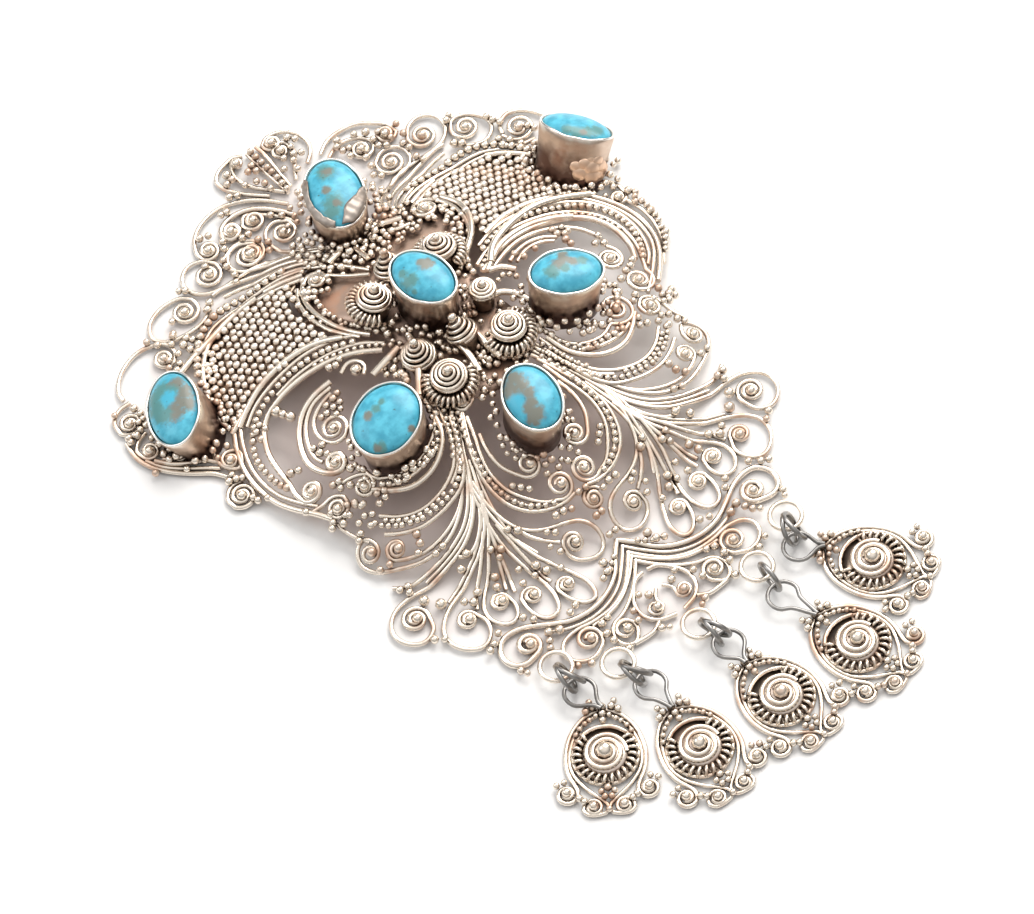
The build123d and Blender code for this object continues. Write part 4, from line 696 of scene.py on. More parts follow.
# The camera: turn, height and roll in degrees, aim and distance in millimetres, and its lens
CAMERA_ANGLES = (27.79, 58.07, 10.01)
CAMERA_AIM = (-1.95, 0.05, 0.0)
CAMERA_REACH = 520.9
NEAREST = 0.01
SENSOR = 36.0
LENS = SENSOR * 4825 / 1034

# The lights: place, size, power and colour
LIGHTS = {
    "key": ((0.55, 0.3, 0.62), 0.7, 8.2, (1.0, 0.97, 0.93)),
    "fill": ((-0.5, 0.5, 0.6), 0.5, 1.6, (0.95, 0.97, 1.0)),
}

# The surrounding is brighter above than at its foot
SKY_SPAN = (0.0, 0.85)
SKY_STRENGTH = (0.06, 0.9)
SKY_TONE = (1.0, 0.98, 0.96)

# A drop's wires, right half, and its rows and granules, in millimetres from its disc
DROP_WIRES = [
    (WIRE, 0.35, [(0.3, 5.4), (1.9, 4.7), (3.4, 2.9), (4.15, 0.4), (4.0, -1.8), (3.3, -3.4)],
     (4.3, -4.2, 1.5)),
    (THIN, 0.35, [(0.1, 4.9), (1.6, 4.2), (3.0, 2.6), (3.75, 0.2), (3.5, -1.8), (2.3, -3.6), (0.9, -4.9),
     (0.2, -5.6), (0.1, -6.4), (0.9, -6.75), (2.2, -6.7), (2.7, -6.15)], (1.6, -6.0, 1.3)),
]
DROP_ROWS = [(0.62, 0.75, 0.72, [(0.7, 4.6), (2.2, 3.5), (3.1, 2.2)])]
DROP_GRAINS = [
    (0.0, 5.6, 0.95), (0.0, 4.8, 0.9), (0.0, 4.0, 0.85), (1.0, 5.6, 0.9), (1.7, 5.2, 0.9),
    (1.3, 6.2, 0.8), (0.0, -3.9, 0.9), (0.7, -4.3, 0.75), (0.35, -4.9, 0.75), (3.0, -4.9, 0.85),
    (2.5, -5.3, 0.8), (5.3, -3.2, 0.8), (4.5, -2.9, 0.75), (0.0, -6.4, 0.75),
]
DROP_DISC = 2.4
DISC_SIDES = (36, 16)
BACK_SIDES = 40
DISC_MIDDLE = 0.7
DISC_FLAT = 0.28
DISC_WIRE = 0.6
DISC_TURNS = 2.3
DISC_STEPS = 60
DISC_SET_IN = 0.1
DISC_INNER = 0.85
DROP_FOOT = math.radians(270)
DROP_COIL = 2.95
DROP_COIL_LEVEL = 0.7
DROP_COIL_TUBE = 0.5
DROP_COIL_TURNS = 19
DROP_COIL_SPAN = 275
DROP_COIL_WIRE = 0.38
DROP_RING = 3.45
DROP_RING_LEVEL = 0.5
DROP_BACK = 3.4
DROP_BACK_THICK = 0.2
DROP_BACK_LEVEL = 0.15
DROP_EYE_RISE = 0.6
DROP_EYE_GRAIN = 1.05
DROP_GRAIN_LEVEL = 0.75
DROP_BALL_LEVEL = 1.6
DROP_BALLS = (1.9, 1.7, 1.7, 1.65, 1.75)

# Each metal: its tone in the light, in its recesses (oxide in its hollows, with painted shade) and where it
# is tarnished, its roughness, and the reach in millimetres within which other metal paints it darker
METALS = {
    "silver_wire": ((0.93, 0.84, 0.73), (0.13, 0.08, 0.055), (0.7, 0.5, 0.38), 0.25, 0.7),
    # The field's silver is a lighter copy of the wire's silver: painted light on the granules' tops, and less
    # painted shade between them
    "field_silver_painted_lighter": ((1.0, 0.93, 0.84), (0.3, 0.2, 0.14), (0.86, 0.72, 0.6), 0.28, 0.5),
    "field_floor": ((0.5, 0.4, 0.31), (0.16, 0.1, 0.07), (0.4, 0.28, 0.2), 0.4, 0.7),
    "rim_silver": ((0.98, 0.95, 0.9), (0.4, 0.33, 0.28), (0.85, 0.78, 0.7), 0.2, 0.7),
    "leaf_silver": ((0.42, 0.37, 0.33), (0.12, 0.09, 0.07), (0.24, 0.18, 0.14), 0.5, 0.7),
    "dark_silver": ((0.24, 0.18, 0.14), (0.05, 0.035, 0.03), (0.18, 0.12, 0.09), 0.4, 0.7),
    "disc_silver": ((0.86, 0.76, 0.68), (0.24, 0.17, 0.13), (0.66, 0.5, 0.42), 0.3, 0.7),
    "tarnished_sheet": ((0.5, 0.37, 0.3), (0.09, 0.06, 0.05), (0.56, 0.34, 0.24), 0.42, 1.4),
    "cup_silver": ((0.66, 0.52, 0.42), (0.12, 0.07, 0.05), (0.5, 0.29, 0.2), 0.34, 1.5),
    "gilt_lump": ((0.86, 0.62, 0.46), (0.26, 0.15, 0.1), (0.56, 0.36, 0.26), 0.4, 0.7),
    "heap_silver": ((1.0, 0.91, 0.8), (0.24, 0.16, 0.12), (0.72, 0.52, 0.4), 0.27, 0.7),
    "dark_wire": ((0.34, 0.33, 0.32), (0.06, 0.06, 0.06), (0.22, 0.21, 0.2), 0.28, 0.7),
}
# The recess tone, oxide with painted shade, blends in over this span of occlusion, found with these samples
RECESS_OXIDE_AND_SHADE_SPAN = (0.25, 0.85)
RECESS_SAMPLES = 6
WORN_ROUGH = 0.2

# Patchy masks: scale, and the noise's values where the mask starts and where it is full
MASK_DETAIL = 4.0
METAL_PATCHES = (260.0, 0.5, 0.68)
CUP_BLOTCHES = (420.0, 0.3, 0.7)
STONE_CLOUDS = (800.0, 0.3, 0.7)
STONE_SPECKS = (2300.0, 0.64, 0.8)

# A cup's metal by its rise from foot to rim: painted shade darkens it towards the foot and painted light
# brightens it by the rim, both blotched unevenly
BLOTCH_DEPTH = 0.4
FOOT_PAINTED_SHADE = (0.12, 0.07, 0.055)
FOOT_SHADE_SPAN = (0.3, 0.85)
RIM_PAINTED_LIGHT = (0.82, 0.76, 0.68)
RIM_LIGHT_SPAN = (1.02, 1.3)

# The stones' gloss, their two blues, and the rough edge of their patches
STONE_GLOSS = {"Roughness": 0.42, "Coat Weight": 0.22, "Coat Roughness": 0.12}
STONE_BLUES = ((0.035, 0.33, 0.48), (0.1, 0.53, 0.7))
BLOT_NOISE = {"Scale": 1500.0, "Detail": 6.0, "Roughness": 0.7}
BLOT_ROUGH = 1.7
BLOT_SPAN = (2.05, 1.3)


def dome_top(x, y):
    """Height of the sheet's upper face."""
    reach = math.hypot(x, y - DOME_Y)
    inside = CAP ** 2 - reach ** 2
    if inside <= 0:
        return SHEET
    return max(SHEET, SHEET + DOME_RISE - CAP + math.sqrt(inside))


def up_at(x, y, lean=1.0):
    """The direction square to the dome, leant by a share of its slope."""
    reach = math.hypot(x, y - DOME_Y)
    held = min(1.0, DOME_REACH / reach) if reach else 1.0
    side = Vector((x * held, (y - DOME_Y) * held, 0.0))
    return (side * lean + Vector((0, 0, math.sqrt(CAP ** 2 - side.length_squared)))).normalized()


def spot(x, y, level, side=1):
    """A charted place at its true height, on the right or mirrored to the left."""
    back = CHART_HEIGHT - level
    px = x + back * SIGHT[0]
    py = y + back * SIGHT[1]
    return Vector((side * px, py, dome_top(px, py) + level))


def smooth(points, step=LINE_STEP):
    """Points along a smooth line through the chosen ones."""
    knots = [Vector(p) for p in points]
    ways = []
    for i in range(len(knots)):
        before = knots[max(i - 1, 0)]
        after = knots[min(i + 1, len(knots) - 1)]
        ways.append((after - before).normalized())
    line = []
    for i in range(len(knots) - 1):
        span = (knots[i + 1] - knots[i]).length
        count = max(2, round(span / step)) + 1
        first = knots[i] + ways[i] * span / 3
        last = knots[i + 1] - ways[i + 1] * span / 3
        line += interpolate_bezier(knots[i], first, last, knots[i + 1], count)[:-1]
    line.append(knots[-1])
    return line


def coil_line(start, middle, turns):
    """A flat spiral from a start in to a middle, with its rise from 0 to 1."""
    out = []
    spoke = Vector(start) - Vector(middle)
    reach = spoke.length
    angle = math.atan2(spoke.y, spoke.x)
    count = max(8, round(abs(turns) * 2 * math.pi * (reach + COIL_INNER) / 2 / COIL_STEP))
    for i in range(1, count + 1):
        share = i / count
        r = reach + (COIL_INNER - reach) * share ** COIL_CROWD
        a = angle + 2 * math.pi * turns * share
        out.append((middle[0] + r * math.cos(a), middle[1] + r * math.sin(a), share))
    return out


class Wirework:
    """Wires gathered in one curve and granules gathered in one list, made pieces at the end."""

    def __init__(self, name, material, place=TO_FRAME):
        self.name = name
        self.material = material
        self.place = place
        self.wires = []
        self.grains = []

    def wire(self, points, size, closed=False):
        """Takes in a wire along a line of points."""
        self.wires.append((points, size, closed))

    def grain(self, point, size):
        """Takes in a granule."""
        self.grains.append((point, size))

    def finish(self):
        """The wires as one mesh piece and the granules as another."""
        made = []
        if self.wires:
            made.append(wire_piece(self.name, self.wires, self.material, self.place))
        if self.grains:
            made.append(grain_piece(self.name + "_granules", self.grains, self.material, self.place))
        return made


def finish_piece(name, mesh, material, place=TO_FRAME):
    """A piece in the frame, with its place in its mesh."""
    mesh.transform(place)
    mesh.shade_smooth()
    mesh.materials.clear()
    mesh.materials.append(material)
    piece = bpy.data.objects.new(name, mesh)
    bpy.context.scene.collection.objects.link(piece)
    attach(piece, "root")
    return piece


def made_piece(name, bm, material, place=TO_FRAME):
    """A piece from a finished bmesh, which is freed."""
    mesh = bpy.data.meshes.new(name)
    bm.to_mesh(mesh)
    bm.free()
    return finish_piece(name, mesh, material, place)


def wire_piece(name, wires, material, place):
    """Round wires along lines of points, as one mesh."""
    curve = bpy.data.curves.new(name, "CURVE")
    curve.dimensions = "3D"
    curve.bevel_depth = 1.0
    curve.bevel_resolution = 2
    curve.use_fill_caps = True
    curve.resolution_u = 1
    for points, size, closed in wires:
        spline = curve.splines.new("POLY")
        spline.points.add(len(points) - 1)
        spline.points.foreach_set("co", [v for p in points for v in (p.x, p.y, p.z, 1.0)])
        spline.points.foreach_set("radius", [size / 2] * len(points))
        spline.use_cyclic_u = closed
    holder = bpy.data.objects.new(name + "_line", curve)
    mesh = bpy.data.meshes.new_from_object(holder)
    bpy.data.objects.remove(holder)
    bpy.data.curves.remove(curve)
    mesh.name = name
    return finish_piece(name, mesh, material, place)


def grain_piece(name, grains, material, place):
    """Granules as one mesh, each a small round ball."""
    whole = bmesh.new()
    for first in range(0, len(grains), BATCH):
        batch = bmesh.new()
        for point, size in grains[first:first + BATCH]:
            spin = Matrix.Rotation(random.random() * math.pi, 4, "Z")
            bmesh.ops.create_uvsphere(batch, u_segments=GRAIN_SIDES, v_segments=GRAIN_RINGS, radius=size / 2,
                                      matrix=Matrix.Translation(point) @ spin)
        made = bpy.data.meshes.new("batch")
        batch.to_mesh(made)
        batch.free()
        whole.from_mesh(made)
        bpy.data.meshes.remove(made)
    return made_piece(name, whole, material, place)


def walk(points, pitch):
    """Places at an even pitch along a smooth line."""
    line = smooth(points, WALK_STEP)
    out = [line[0]]
    gone = 0.0
    for a, b in zip(line, line[1:]):
        gone += (b - a).length
        if gone >= pitch:
            out.append(b)
            gone -= pitch
    return out


def add_wire(work, row, side=1):
    """A charted wire with the coil and granule at its end."""
    wire = dict(zip(WIRE_COLUMNS, row))
    line = [spot(p.x, p.y, wire["level"], side) for p in smooth(wire["points"])]
    if wire["coil"]:
        x, y, turns = wire["coil"]
        for px, py, share in coil_line(wire["points"][-1], (x, y), turns):
            line.append(spot(px, py, wire["level"] + RAISED * share, side))
        work.grain(spot(x, y, wire["level"] + RAISED + EYE_RISE, side), EYE_GRAIN)
    work.wire(line, wire["size"])


def add_row(work, row, side=1):
    """A row of granules."""
    row = dict(zip(ROW_COLUMNS, row))
    for p in walk(row["points"], row["pitch"]):
        work.grain(spot(p.x, p.y, row["level"], side), row["size"] * GRAIN_GROW * random.uniform(*ROW_SPREAD))


def settle(work, loose):
    """Granules each set against the nearest wire or granule, so that none hangs free."""
    held = [(p, size) for line, size, closed in work.wires for p in line] + work.grains
    tree = KDTree(len(held))
    for index, (point, size) in enumerate(held):
        tree.insert(point, index)
    tree.balance()
    settled = []
    for point, size in loose:
        near, index, away = tree.find(point)
        reach = (size + held[index][1]) / 2
        for other, width in settled:
            gap = (point - other).length - (size + width) / 2
            if gap < away - reach:
                near, away, reach = other, (point - other).length, (size + width) / 2
        if away - reach > LOST:
            continue
        if away - reach > LOOSE:
            point = near + (point - near) * (reach / away)
        settled.append((point, size))
    work.grains += settled


def inside(x, y, outline):
    """Whether a place is inside an outline."""
    hit = False
    for (ax, ay), (bx, by) in zip(outline, outline[1:] + outline[:1]):
        if (ay > y) != (by > y) and x < (bx - ax) * (y - ay) / (by - ay) + ax:
            hit = not hit
    return hit


def far_enough(place, others, gap):
    """Whether a place keeps a gap from all the others."""
    return all((place - other).length > gap for other in others)


def on_dome(place, level):
    """A place of the plan at a height over the dome."""
    return Vector((place.x, place.y, dome_top(place.x, place.y) + level))


def add_heap(work, stone):
    """Granules soldered in a heap round a cup's foot."""
    heap = dict(zip(HEAP_COLUMNS, HEAPS[stone["name"]]))
    turn = Matrix.Rotation(math.radians(stone["turn"]), 2)
    taken = []
    for _ in range(heap["count"] * HEAP_TRIES):
        angle = random.uniform(0, 2 * math.pi)
        out = HEAP_CLEAR + heap["reach"] * random.random()
        along = (stone["long"] / 2 + out) * math.cos(angle)
        across = (stone["short"] / 2 + out) * math.sin(angle)
        place = Vector((stone["x"], stone["y"])) + turn @ Vector((along, across))
        if len(taken) < heap["count"] and far_enough(place, taken, HEAP_GAP):
            taken.append(place)
            share = max(0.0, 1 - out / (heap["reach"] + HEAP_CLEAR))
            point = on_dome(place, heap["high"] * share + random.uniform(*HEAP_SPREAD))
            work.grain(point, random.uniform(*HEAP_GRAIN))


def add_clutter(work, centres):
    """Granules strewn over the middle, clear of the cones, the cups and the two petals."""
    taken = []
    outline = mirrored(MIDDLE)
    for _ in range(CLUTTER_TRIES):
        place = Vector((random.uniform(*CLUTTER_ACROSS), random.uniform(*CLUTTER_ALONG)))
        free = all((place - centre).length > keep for centre, keep in centres)
        if free and inside(place.x, place.y, outline) and far_enough(place, taken, CLUTTER_GAP):
            taken.append(place)
            point = on_dome(place, random.uniform(*CLUTTER_SPREAD))
            work.grain(point, random.uniform(*CLUTTER_GRAIN))


def add_field(work, side):
    """The staggered rows of a granule field."""
    turn = Matrix.Rotation(math.radians(FIELD_TURN), 2)
    for row in range(-FIELD_ROWS, FIELD_ROWS + 1):
        for step in range(-FIELD_STEPS, FIELD_STEPS + 1):
            shift = 0.5 if row % 2 else 0.0
            place = Vector(FIELD_MIDDLE) + turn @ Vector(((step + shift) * FIELD_PITCH, row * FIELD_ROW))
            place += Vector((random.uniform(-1, 1), random.uniform(-1, 1))) * FIELD_JITTER
            if inside(place.x, place.y, FIELD):
                size = random.uniform(*FIELD_GRAIN)
                work.grain(spot(place.x, place.y, random.uniform(*FIELD_SPREAD), side), size)


def flat_face(outline, cuts):
    """A flat face inside an outline, cut into small triangles."""
    bm = bmesh.new()
    corners = [bm.verts.new((x, y, 0.0)) for x, y in outline]
    bmesh.ops.triangulate(bm, faces=[bm.faces.new(corners)])
    bmesh.ops.subdivide_edges(bm, edges=bm.edges[:], cuts=cuts, use_grid_fill=True)
    bmesh.ops.triangulate(bm, faces=bm.faces[:])
    return bm


def thicken(bm, thick):
    """Turns a face up and gives it a thickness."""
    bmesh.ops.recalc_face_normals(bm, faces=bm.faces[:])
    if sum(f.normal.z for f in bm.faces) < 0:
        bmesh.ops.reverse_faces(bm, faces=bm.faces[:])
    bmesh.ops.solidify(bm, geom=bm.faces[:], thickness=thick)


def floor_sheet(name, outline, level, thick, material):
    """A thin sheet that follows the dome inside an outline."""
    bm = flat_face(outline, SHEET_CUTS)
    for vert in bm.verts:
        vert.co = spot(vert.co.x, vert.co.y, level)
    thicken(bm, thick)
    return made_piece(name, bm, material)


def mirrored(outline):
    """A right half outline from top to foot, closed by its mirror on the left."""
    left = [(-x, y) for x, y in reversed(outline) if x]
    return outline + left


def stand_matrix(x, y, up, along=Vector((1, 0, 0))):
    """A frame that stands on the dome, its Z along up."""
    side = (along - up * along.dot(up)).normalized()
    base = Vector((x, y, dome_top(x, y)))
    return Matrix.Translation(base) @ Matrix((side, up.cross(side), up)).transposed().to_4x4()


def outline_share(angle, outline):
    """How far an outline goes in or out at an angle, smooth between its given values."""
    count = len(outline)
    where = angle / (2 * math.pi) * count
    low = math.floor(where)
    share = where - low
    share = share * share * (3 - 2 * share)
    return outline[low % count] * (1 - share) + outline[(low + 1) % count] * share


def shape_outline(bm, stone):
    """Brings an even oval to the stone's own outline."""
    for vert in bm.verts:
        angle = math.atan2(vert.co.y / stone["short"], vert.co.x / stone["long"])
        share = outline_share(angle, stone["outline"])
        vert.co.x *= share
        vert.co.y *= share


def stone_matrix(stone):
    """Where a stone's cup stands."""
    turn = math.radians(stone["turn"])
    along = Vector((math.cos(turn), math.sin(turn), 0))
    return stand_matrix(stone["x"], stone["y"], up_at(stone["x"], stone["y"], stone["lean"]), along)


def rim_wave(stone, angle):
    """How unevenly a rim was rubbed down."""
    wave = WAVE_HIGH * math.sin(WAVE_COUNT * angle + stone["x"])
    return wave + RIPPLE_HIGH * math.sin(RIPPLE_COUNT * angle + stone["y"])


def cup_piece(stone, material):
    """A tall plain cup whose rim is rubbed over the stone's edge."""
    bm = bmesh.new()
    half_long, half_short = stone["long"] / 2, stone["short"] / 2
    bmesh.ops.create_circle(bm, segments=CUP_SIDES, radius=1.0)
    bmesh.ops.scale(bm, vec=(half_long + CUP[0][1], half_short + CUP[0][1], 1), verts=bm.verts[:])
    bmesh.ops.translate(bm, vec=(0, 0, stone["height"] + CUP[0][0]), verts=bm.verts[:])
    first = bm.edges[:]
    ring = first
    for (low, was), (high, now) in zip(CUP, CUP[1:]):
        made = bmesh.ops.extrude_edge_only(bm, edges=ring)["geom"]
        verts = {v for v in made if isinstance(v, bmesh.types.BMVert)}
        ring = [e for e in made if isinstance(e, bmesh.types.BMEdge) and all(v in verts for v in e.verts)]
        grow = ((half_long + now) / (half_long + was), (half_short + now) / (half_short + was), 1)
        bmesh.ops.scale(bm, vec=grow, verts=list(verts))
        bmesh.ops.translate(bm, vec=(0, 0, high - low), verts=list(verts))
    bmesh.ops.bridge_loops(bm, edges=first + ring)
    shape_outline(bm, stone)
    rise = bm.verts.layers.float.new("rise")
    for vert in bm.verts:
        vert[rise] = 1 + (vert.co.z - stone["height"]) / CUP_DEPTH
        if vert.co.z > stone["height"] - WAVE_REACH:
            vert.co.z += rim_wave(stone, math.atan2(vert.co.y, vert.co.x))
    bmesh.ops.transform(bm, matrix=stone_matrix(stone), verts=bm.verts[:])
    for vert in bm.verts:
        vert.co.z = max(vert.co.z, CUP_FOOT)
    bmesh.ops.recalc_face_normals(bm, faces=bm.faces[:])
    return made_piece("cup_" + stone["name"], bm, material)


def lump_piece(stone, material):
    """The gilt metal that has run down a cup's wall."""
    bm = bmesh.new()
    place = stone_matrix(stone)
    level = place.to_3x3().inverted()
    half_long, half_short = stone["long"] / 2 + LUMP_OUT, stone["short"] / 2 + LUMP_OUT
    for angle, down, size in GILT_LUMPS:
        a = math.radians(angle)
        way = level @ Vector((math.cos(a), math.sin(a), 0))
        way = Vector((way.x, way.y, 0)).normalized()
        reach = math.hypot(half_long * way.x, half_short * way.y)
        along, across = half_long ** 2 * way.x / reach, half_short ** 2 * way.y / reach
        wall = Matrix.Translation((along, across, stone["height"] - down))
        turn = way.to_track_quat("Z", "Y").to_matrix().to_4x4()
        stand = place @ wall @ turn @ Matrix.Diagonal((1, 1, LUMP_FLAT, 1))
        bmesh.ops.create_icosphere(bm, subdivisions=3, radius=size, matrix=stand)
    for vert in bm.verts:
        vert.co.z = max(vert.co.z, CUP_FOOT)
    return made_piece("gilt_lump", bm, material)


def add_rim(work, stone):
    """The bright rubbed edge of a cup."""
    line = []
    for i in range(RIM_STEPS):
        angle = 2 * math.pi * i / RIM_STEPS
        share = outline_share(angle, stone["outline"])
        x = (stone["long"] / 2 + RIM_OUT) * math.cos(angle) * share
        y = (stone["short"] / 2 + RIM_OUT) * math.sin(angle) * share
        z = stone["height"] - RIM_SUNK + rim_wave(stone, math.atan2(y, x))
        line.append(stone_matrix(stone) @ Vector((x, y, z)))
    work.wire(line, RIM_WIRE, closed=True)


def leaf_piece(name, outline, stone, material):
    """A torn leaf of the rim, bent down over the stone."""
    bm = flat_face(outline, LEAF_CUTS)
    for vert in bm.verts:
        along = vert.co.x / (stone["long"] / 2 + LEAF_REACH)
        across = vert.co.y / (stone["short"] / 2 + LEAF_REACH)
        bend = LEAF_RISE * math.sqrt(max(0.0, 1 - along ** 2 - across ** 2))
        bump = LEAF_BUMP * math.sin(LEAF_WAVES[0] * vert.co.x + 1) * math.sin(LEAF_WAVES[1] * vert.co.y)
        vert.co.z = stone["height"] - LEAF_SUNK + bend + bump
    thicken(bm, LEAF_THICK)
    return made_piece(name, bm, material, TO_FRAME @ stone_matrix(stone))


def stone_piece(stone, material):
    """A cabochon with a low dome and a shallower back."""
    bm = bmesh.new()
    bmesh.ops.create_uvsphere(bm, u_segments=STONE_SIDES[0], v_segments=STONE_SIDES[1], radius=1.0)
    for vert in bm.verts:
        if vert.co.z < 0:
            vert.co.z *= STONE_BACK
    grow = (stone["long"] / 2 * STONE_GROW, stone["short"] / 2 * STONE_GROW, STONE_RISE)
    bmesh.ops.scale(bm, vec=grow, verts=bm.verts[:])
    shape_outline(bm, stone)
    bmesh.ops.translate(bm, vec=(0, 0, stone["height"] - GIRDLE_DROP), verts=bm.verts[:])
    name = stone["name"].replace("stone", "cabochon")
    piece = made_piece(name, bm, material, TO_FRAME @ stone_matrix(stone))
    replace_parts(piece, stone["name"])


def coil_ring(facing, span, reach, tube, turns, level):
    """Points of a coil bent round part of a ring, its middle at the facing angle."""
    out = []
    count = turns * COIL_STEPS
    for i in range(count + 1):
        a = facing + (i / count - 0.5) * math.radians(span)
        b = 2 * math.pi * turns * i / count
        r = reach + tube * math.cos(b)
        out.append(Vector((r * math.cos(a), r * math.sin(a), level + tube * math.sin(b))))
    return out


def add_cone(work, cores, cone):
    """A wire wound in a low spiral cone to a ball, with a ring of radial turns on its outer side."""
    up = (up_at(cone["x"], cone["y"]) + Vector((cone["lean_x"], cone["lean_y"], 0))).normalized()
    stand = stand_matrix(cone["x"], cone["y"], up)
    line = []
    count = round(cone["turns"] * CONE_STEPS)
    for i in range(-SKIRT_STEPS, count + 1):
        share = max(0, i) / count
        r = cone["rim"] - CONE_INSET + (CONE_TIP - cone["rim"]) * share
        z = cone["low"] + (cone["high"] - cone["low"]) * share + min(0, i) * SKIRT_DROP
        a = 2 * math.pi * i / CONE_STEPS + cone["x"]
        line.append(stand @ Vector((r * math.cos(a), r * math.sin(a), z)))
    work.wire(line, CONE_WIRE)
    work.grain(stand @ Vector((0, 0, cone["high"] + CONE_BALL_RISE)), CONE_BALL)
    cores.append((stand, cone["rim"], cone["low"], cone["high"]))
    if cone["coil"]:
        away = math.atan2(cone["y"] - CONES_Y, cone["x"])
        coil = coil_ring(away, COIL_SPAN, COIL_RING, COIL_TUBE, COIL_TURNS, COIL_LEVEL)
        work.wire([stand @ p for p in coil], COIL_WIRE)


def core_piece(cores, material):
    """The dark cores that the wound wires sit on."""
    bm = bmesh.new()
    for stand, rim, low, high in cores:
        wall = rim - CORE_WALL
        bmesh.ops.create_cone(bm, cap_ends=True, segments=CORE_SIDES, radius1=wall, radius2=wall,
                              depth=low + CORE_OVERLAP,
                              matrix=stand @ Matrix.Translation((0, 0, (low - CORE_OVERLAP) / 2)))
        bmesh.ops.create_cone(bm, cap_ends=True, segments=CORE_SIDES, radius1=rim - CORE_SLOPE,
                              radius2=CORE_TIP, depth=high - low,
                              matrix=stand @ Matrix.Translation((0, 0, (high + low) / 2 - CORE_SUNK)))
    return made_piece("cone_cores", bm, material)


def ring_line(centre, across, down, reach):
    """A closed round of points in the plane of two directions."""
    out = []
    for i in range(RING_SIDES):
        a = 2 * math.pi * i / RING_SIDES
        out.append(centre + across * (reach * math.cos(a)) + down * (reach * math.sin(a)))
    return out


def chain(row):
    """Where a drop's plate ring, jump ring, bail and disc lie."""
    start = Vector((row["x"], row["y"] - RING_REACH, 0))
    step = RING_REACH + BAIL_REACH + (RING_WIRE + BAIL_WIRE) / 2 + RING_PLAY + row["slack"]
    pull = math.radians(row["pull_turn"])
    down = Vector((math.sin(pull), -math.cos(pull), 0))
    round_end = start + down * step
    swing = math.radians(row["bail_turn"])
    length = BAIL_LENGTH * row["bail_share"] - BAIL_WIDTH / 2
    way = Vector((math.sin(swing), -math.cos(swing), 0))
    neck = round_end + way * length
    up = math.radians(row["turn"])
    disc = neck + Vector((math.sin(up), -math.cos(up), 0)) * DROP_NECK
    middle = start + down * (RING_REACH + step - BAIL_REACH) / 2
    return {"start": start, "down": down, "round_end": round_end, "way": way, "length": length,
            "disc": disc, "middle": middle}


def add_bail(work, place):
    """A thin dark loop, round at its far end and narrowing to the drop's neck."""
    way = place["way"]
    across = Vector((-way.y, way.x, 0))
    neck, throat = BAIL_NECK
    profile = [(neck, place["length"]), (throat, place["length"] - BAIL_TAPER)] + BAIL_ROUND
    half = [Vector(p) for p in profile]
    whole = half + [Vector((-v.x, v.y)) for v in reversed(half[:-1])]
    line = []
    for p in smooth(whole, DROP_STEP):
        centre = place["round_end"] + across * p.x + way * p.y
        line.append(Vector((centre.x, centre.y, RING_LEVEL)))
    work.wire(line, BAIL_WIRE)


def add_drop_half(work, side):
    """One half of a drop's wires and granules, in the drop's own place."""
    for size, level, points, coil in DROP_WIRES:
        line = [Vector((side * p.x, p.y, level)) for p in smooth(points, DROP_STEP)]
        if coil:
            x, y, turns = coil
            for px, py, share in coil_line(points[-1], (x, y), turns):
                line.append(Vector((side * px, py, level + RAISED * share)))
            work.grain(Vector((side * x, y, level + DROP_EYE_RISE)), DROP_EYE_GRAIN)
        work.wire(line, size)
    for size, level, pitch, points in DROP_ROWS:
        for p in walk(points, pitch):
            work.grain(Vector((side * p.x, p.y, level)), size)
    for x, y, size in DROP_GRAINS:
        if x or side > 0:
            work.grain(Vector((side * x, y, DROP_GRAIN_LEVEL)), size)


def disc_top(reach):
    """Height of a drop's domed disc at a reach from its middle."""
    return DISC_MIDDLE + DISC_FLAT * math.sqrt(max(0.0, DROP_DISC ** 2 - reach ** 2))


def disc_spiral():
    """The wire wound flat over a drop's disc."""
    line = []
    for i in range(DISC_STEPS + 1):
        share = i / DISC_STEPS
        r = DROP_DISC - DISC_SET_IN + (DISC_INNER - DROP_DISC) * share
        a = 2 * math.pi * DISC_TURNS * share
        line.append(Vector((r * math.cos(a), r * math.sin(a), disc_top(r))))
    return line


def add_drop(work, row, ball):
    """A drop: teardrop wires with scrolls, a coil ring and a ball on a disc."""
    own = Wirework("", None)
    for side in (1, -1):
        add_drop_half(own, side)
    coil = coil_ring(DROP_FOOT, DROP_COIL_SPAN, DROP_COIL, DROP_COIL_TUBE, DROP_COIL_TURNS, DROP_COIL_LEVEL)
    own.wire(coil, DROP_COIL_WIRE)
    centre = Vector((0, 0, DROP_RING_LEVEL))
    own.wire(ring_line(centre, Vector((1, 0, 0)), Vector((0, 1, 0)), DROP_RING), THIN, closed=True)
    own.wire(disc_spiral(), DISC_WIRE)
    own.grain(Vector((0, 0, DROP_BALL_LEVEL)), ball)
    place = chain(row)
    stand = Matrix.Translation(place["disc"]) @ Matrix.Rotation(math.radians(row["turn"]), 4, "Z")
    for points, size, closed in own.wires:
        work.wire([stand @ p for p in points], size, closed)
    for point, size in own.grains:
        work.grain(stand @ point, size)
    return stand


def disc_piece(name, stand, material):
    """A drop's domed disc over its thin back plate."""
    bm = bmesh.new()
    bmesh.ops.create_uvsphere(bm, u_segments=DISC_SIDES[0], v_segments=DISC_SIDES[1], radius=DROP_DISC)
    bmesh.ops.scale(bm, vec=(1, 1, DISC_FLAT), verts=bm.verts[:])
    bmesh.ops.translate(bm, vec=(0, 0, DISC_MIDDLE), verts=bm.verts[:])
    bmesh.ops.create_cone(bm, cap_ends=True, segments=BACK_SIDES, radius1=DROP_BACK, radius2=DROP_BACK,
                          depth=DROP_BACK_THICK, matrix=Matrix.Translation((0, 0, DROP_BACK_LEVEL)))
    return made_piece(name, bm, material, TO_FRAME @ stand)


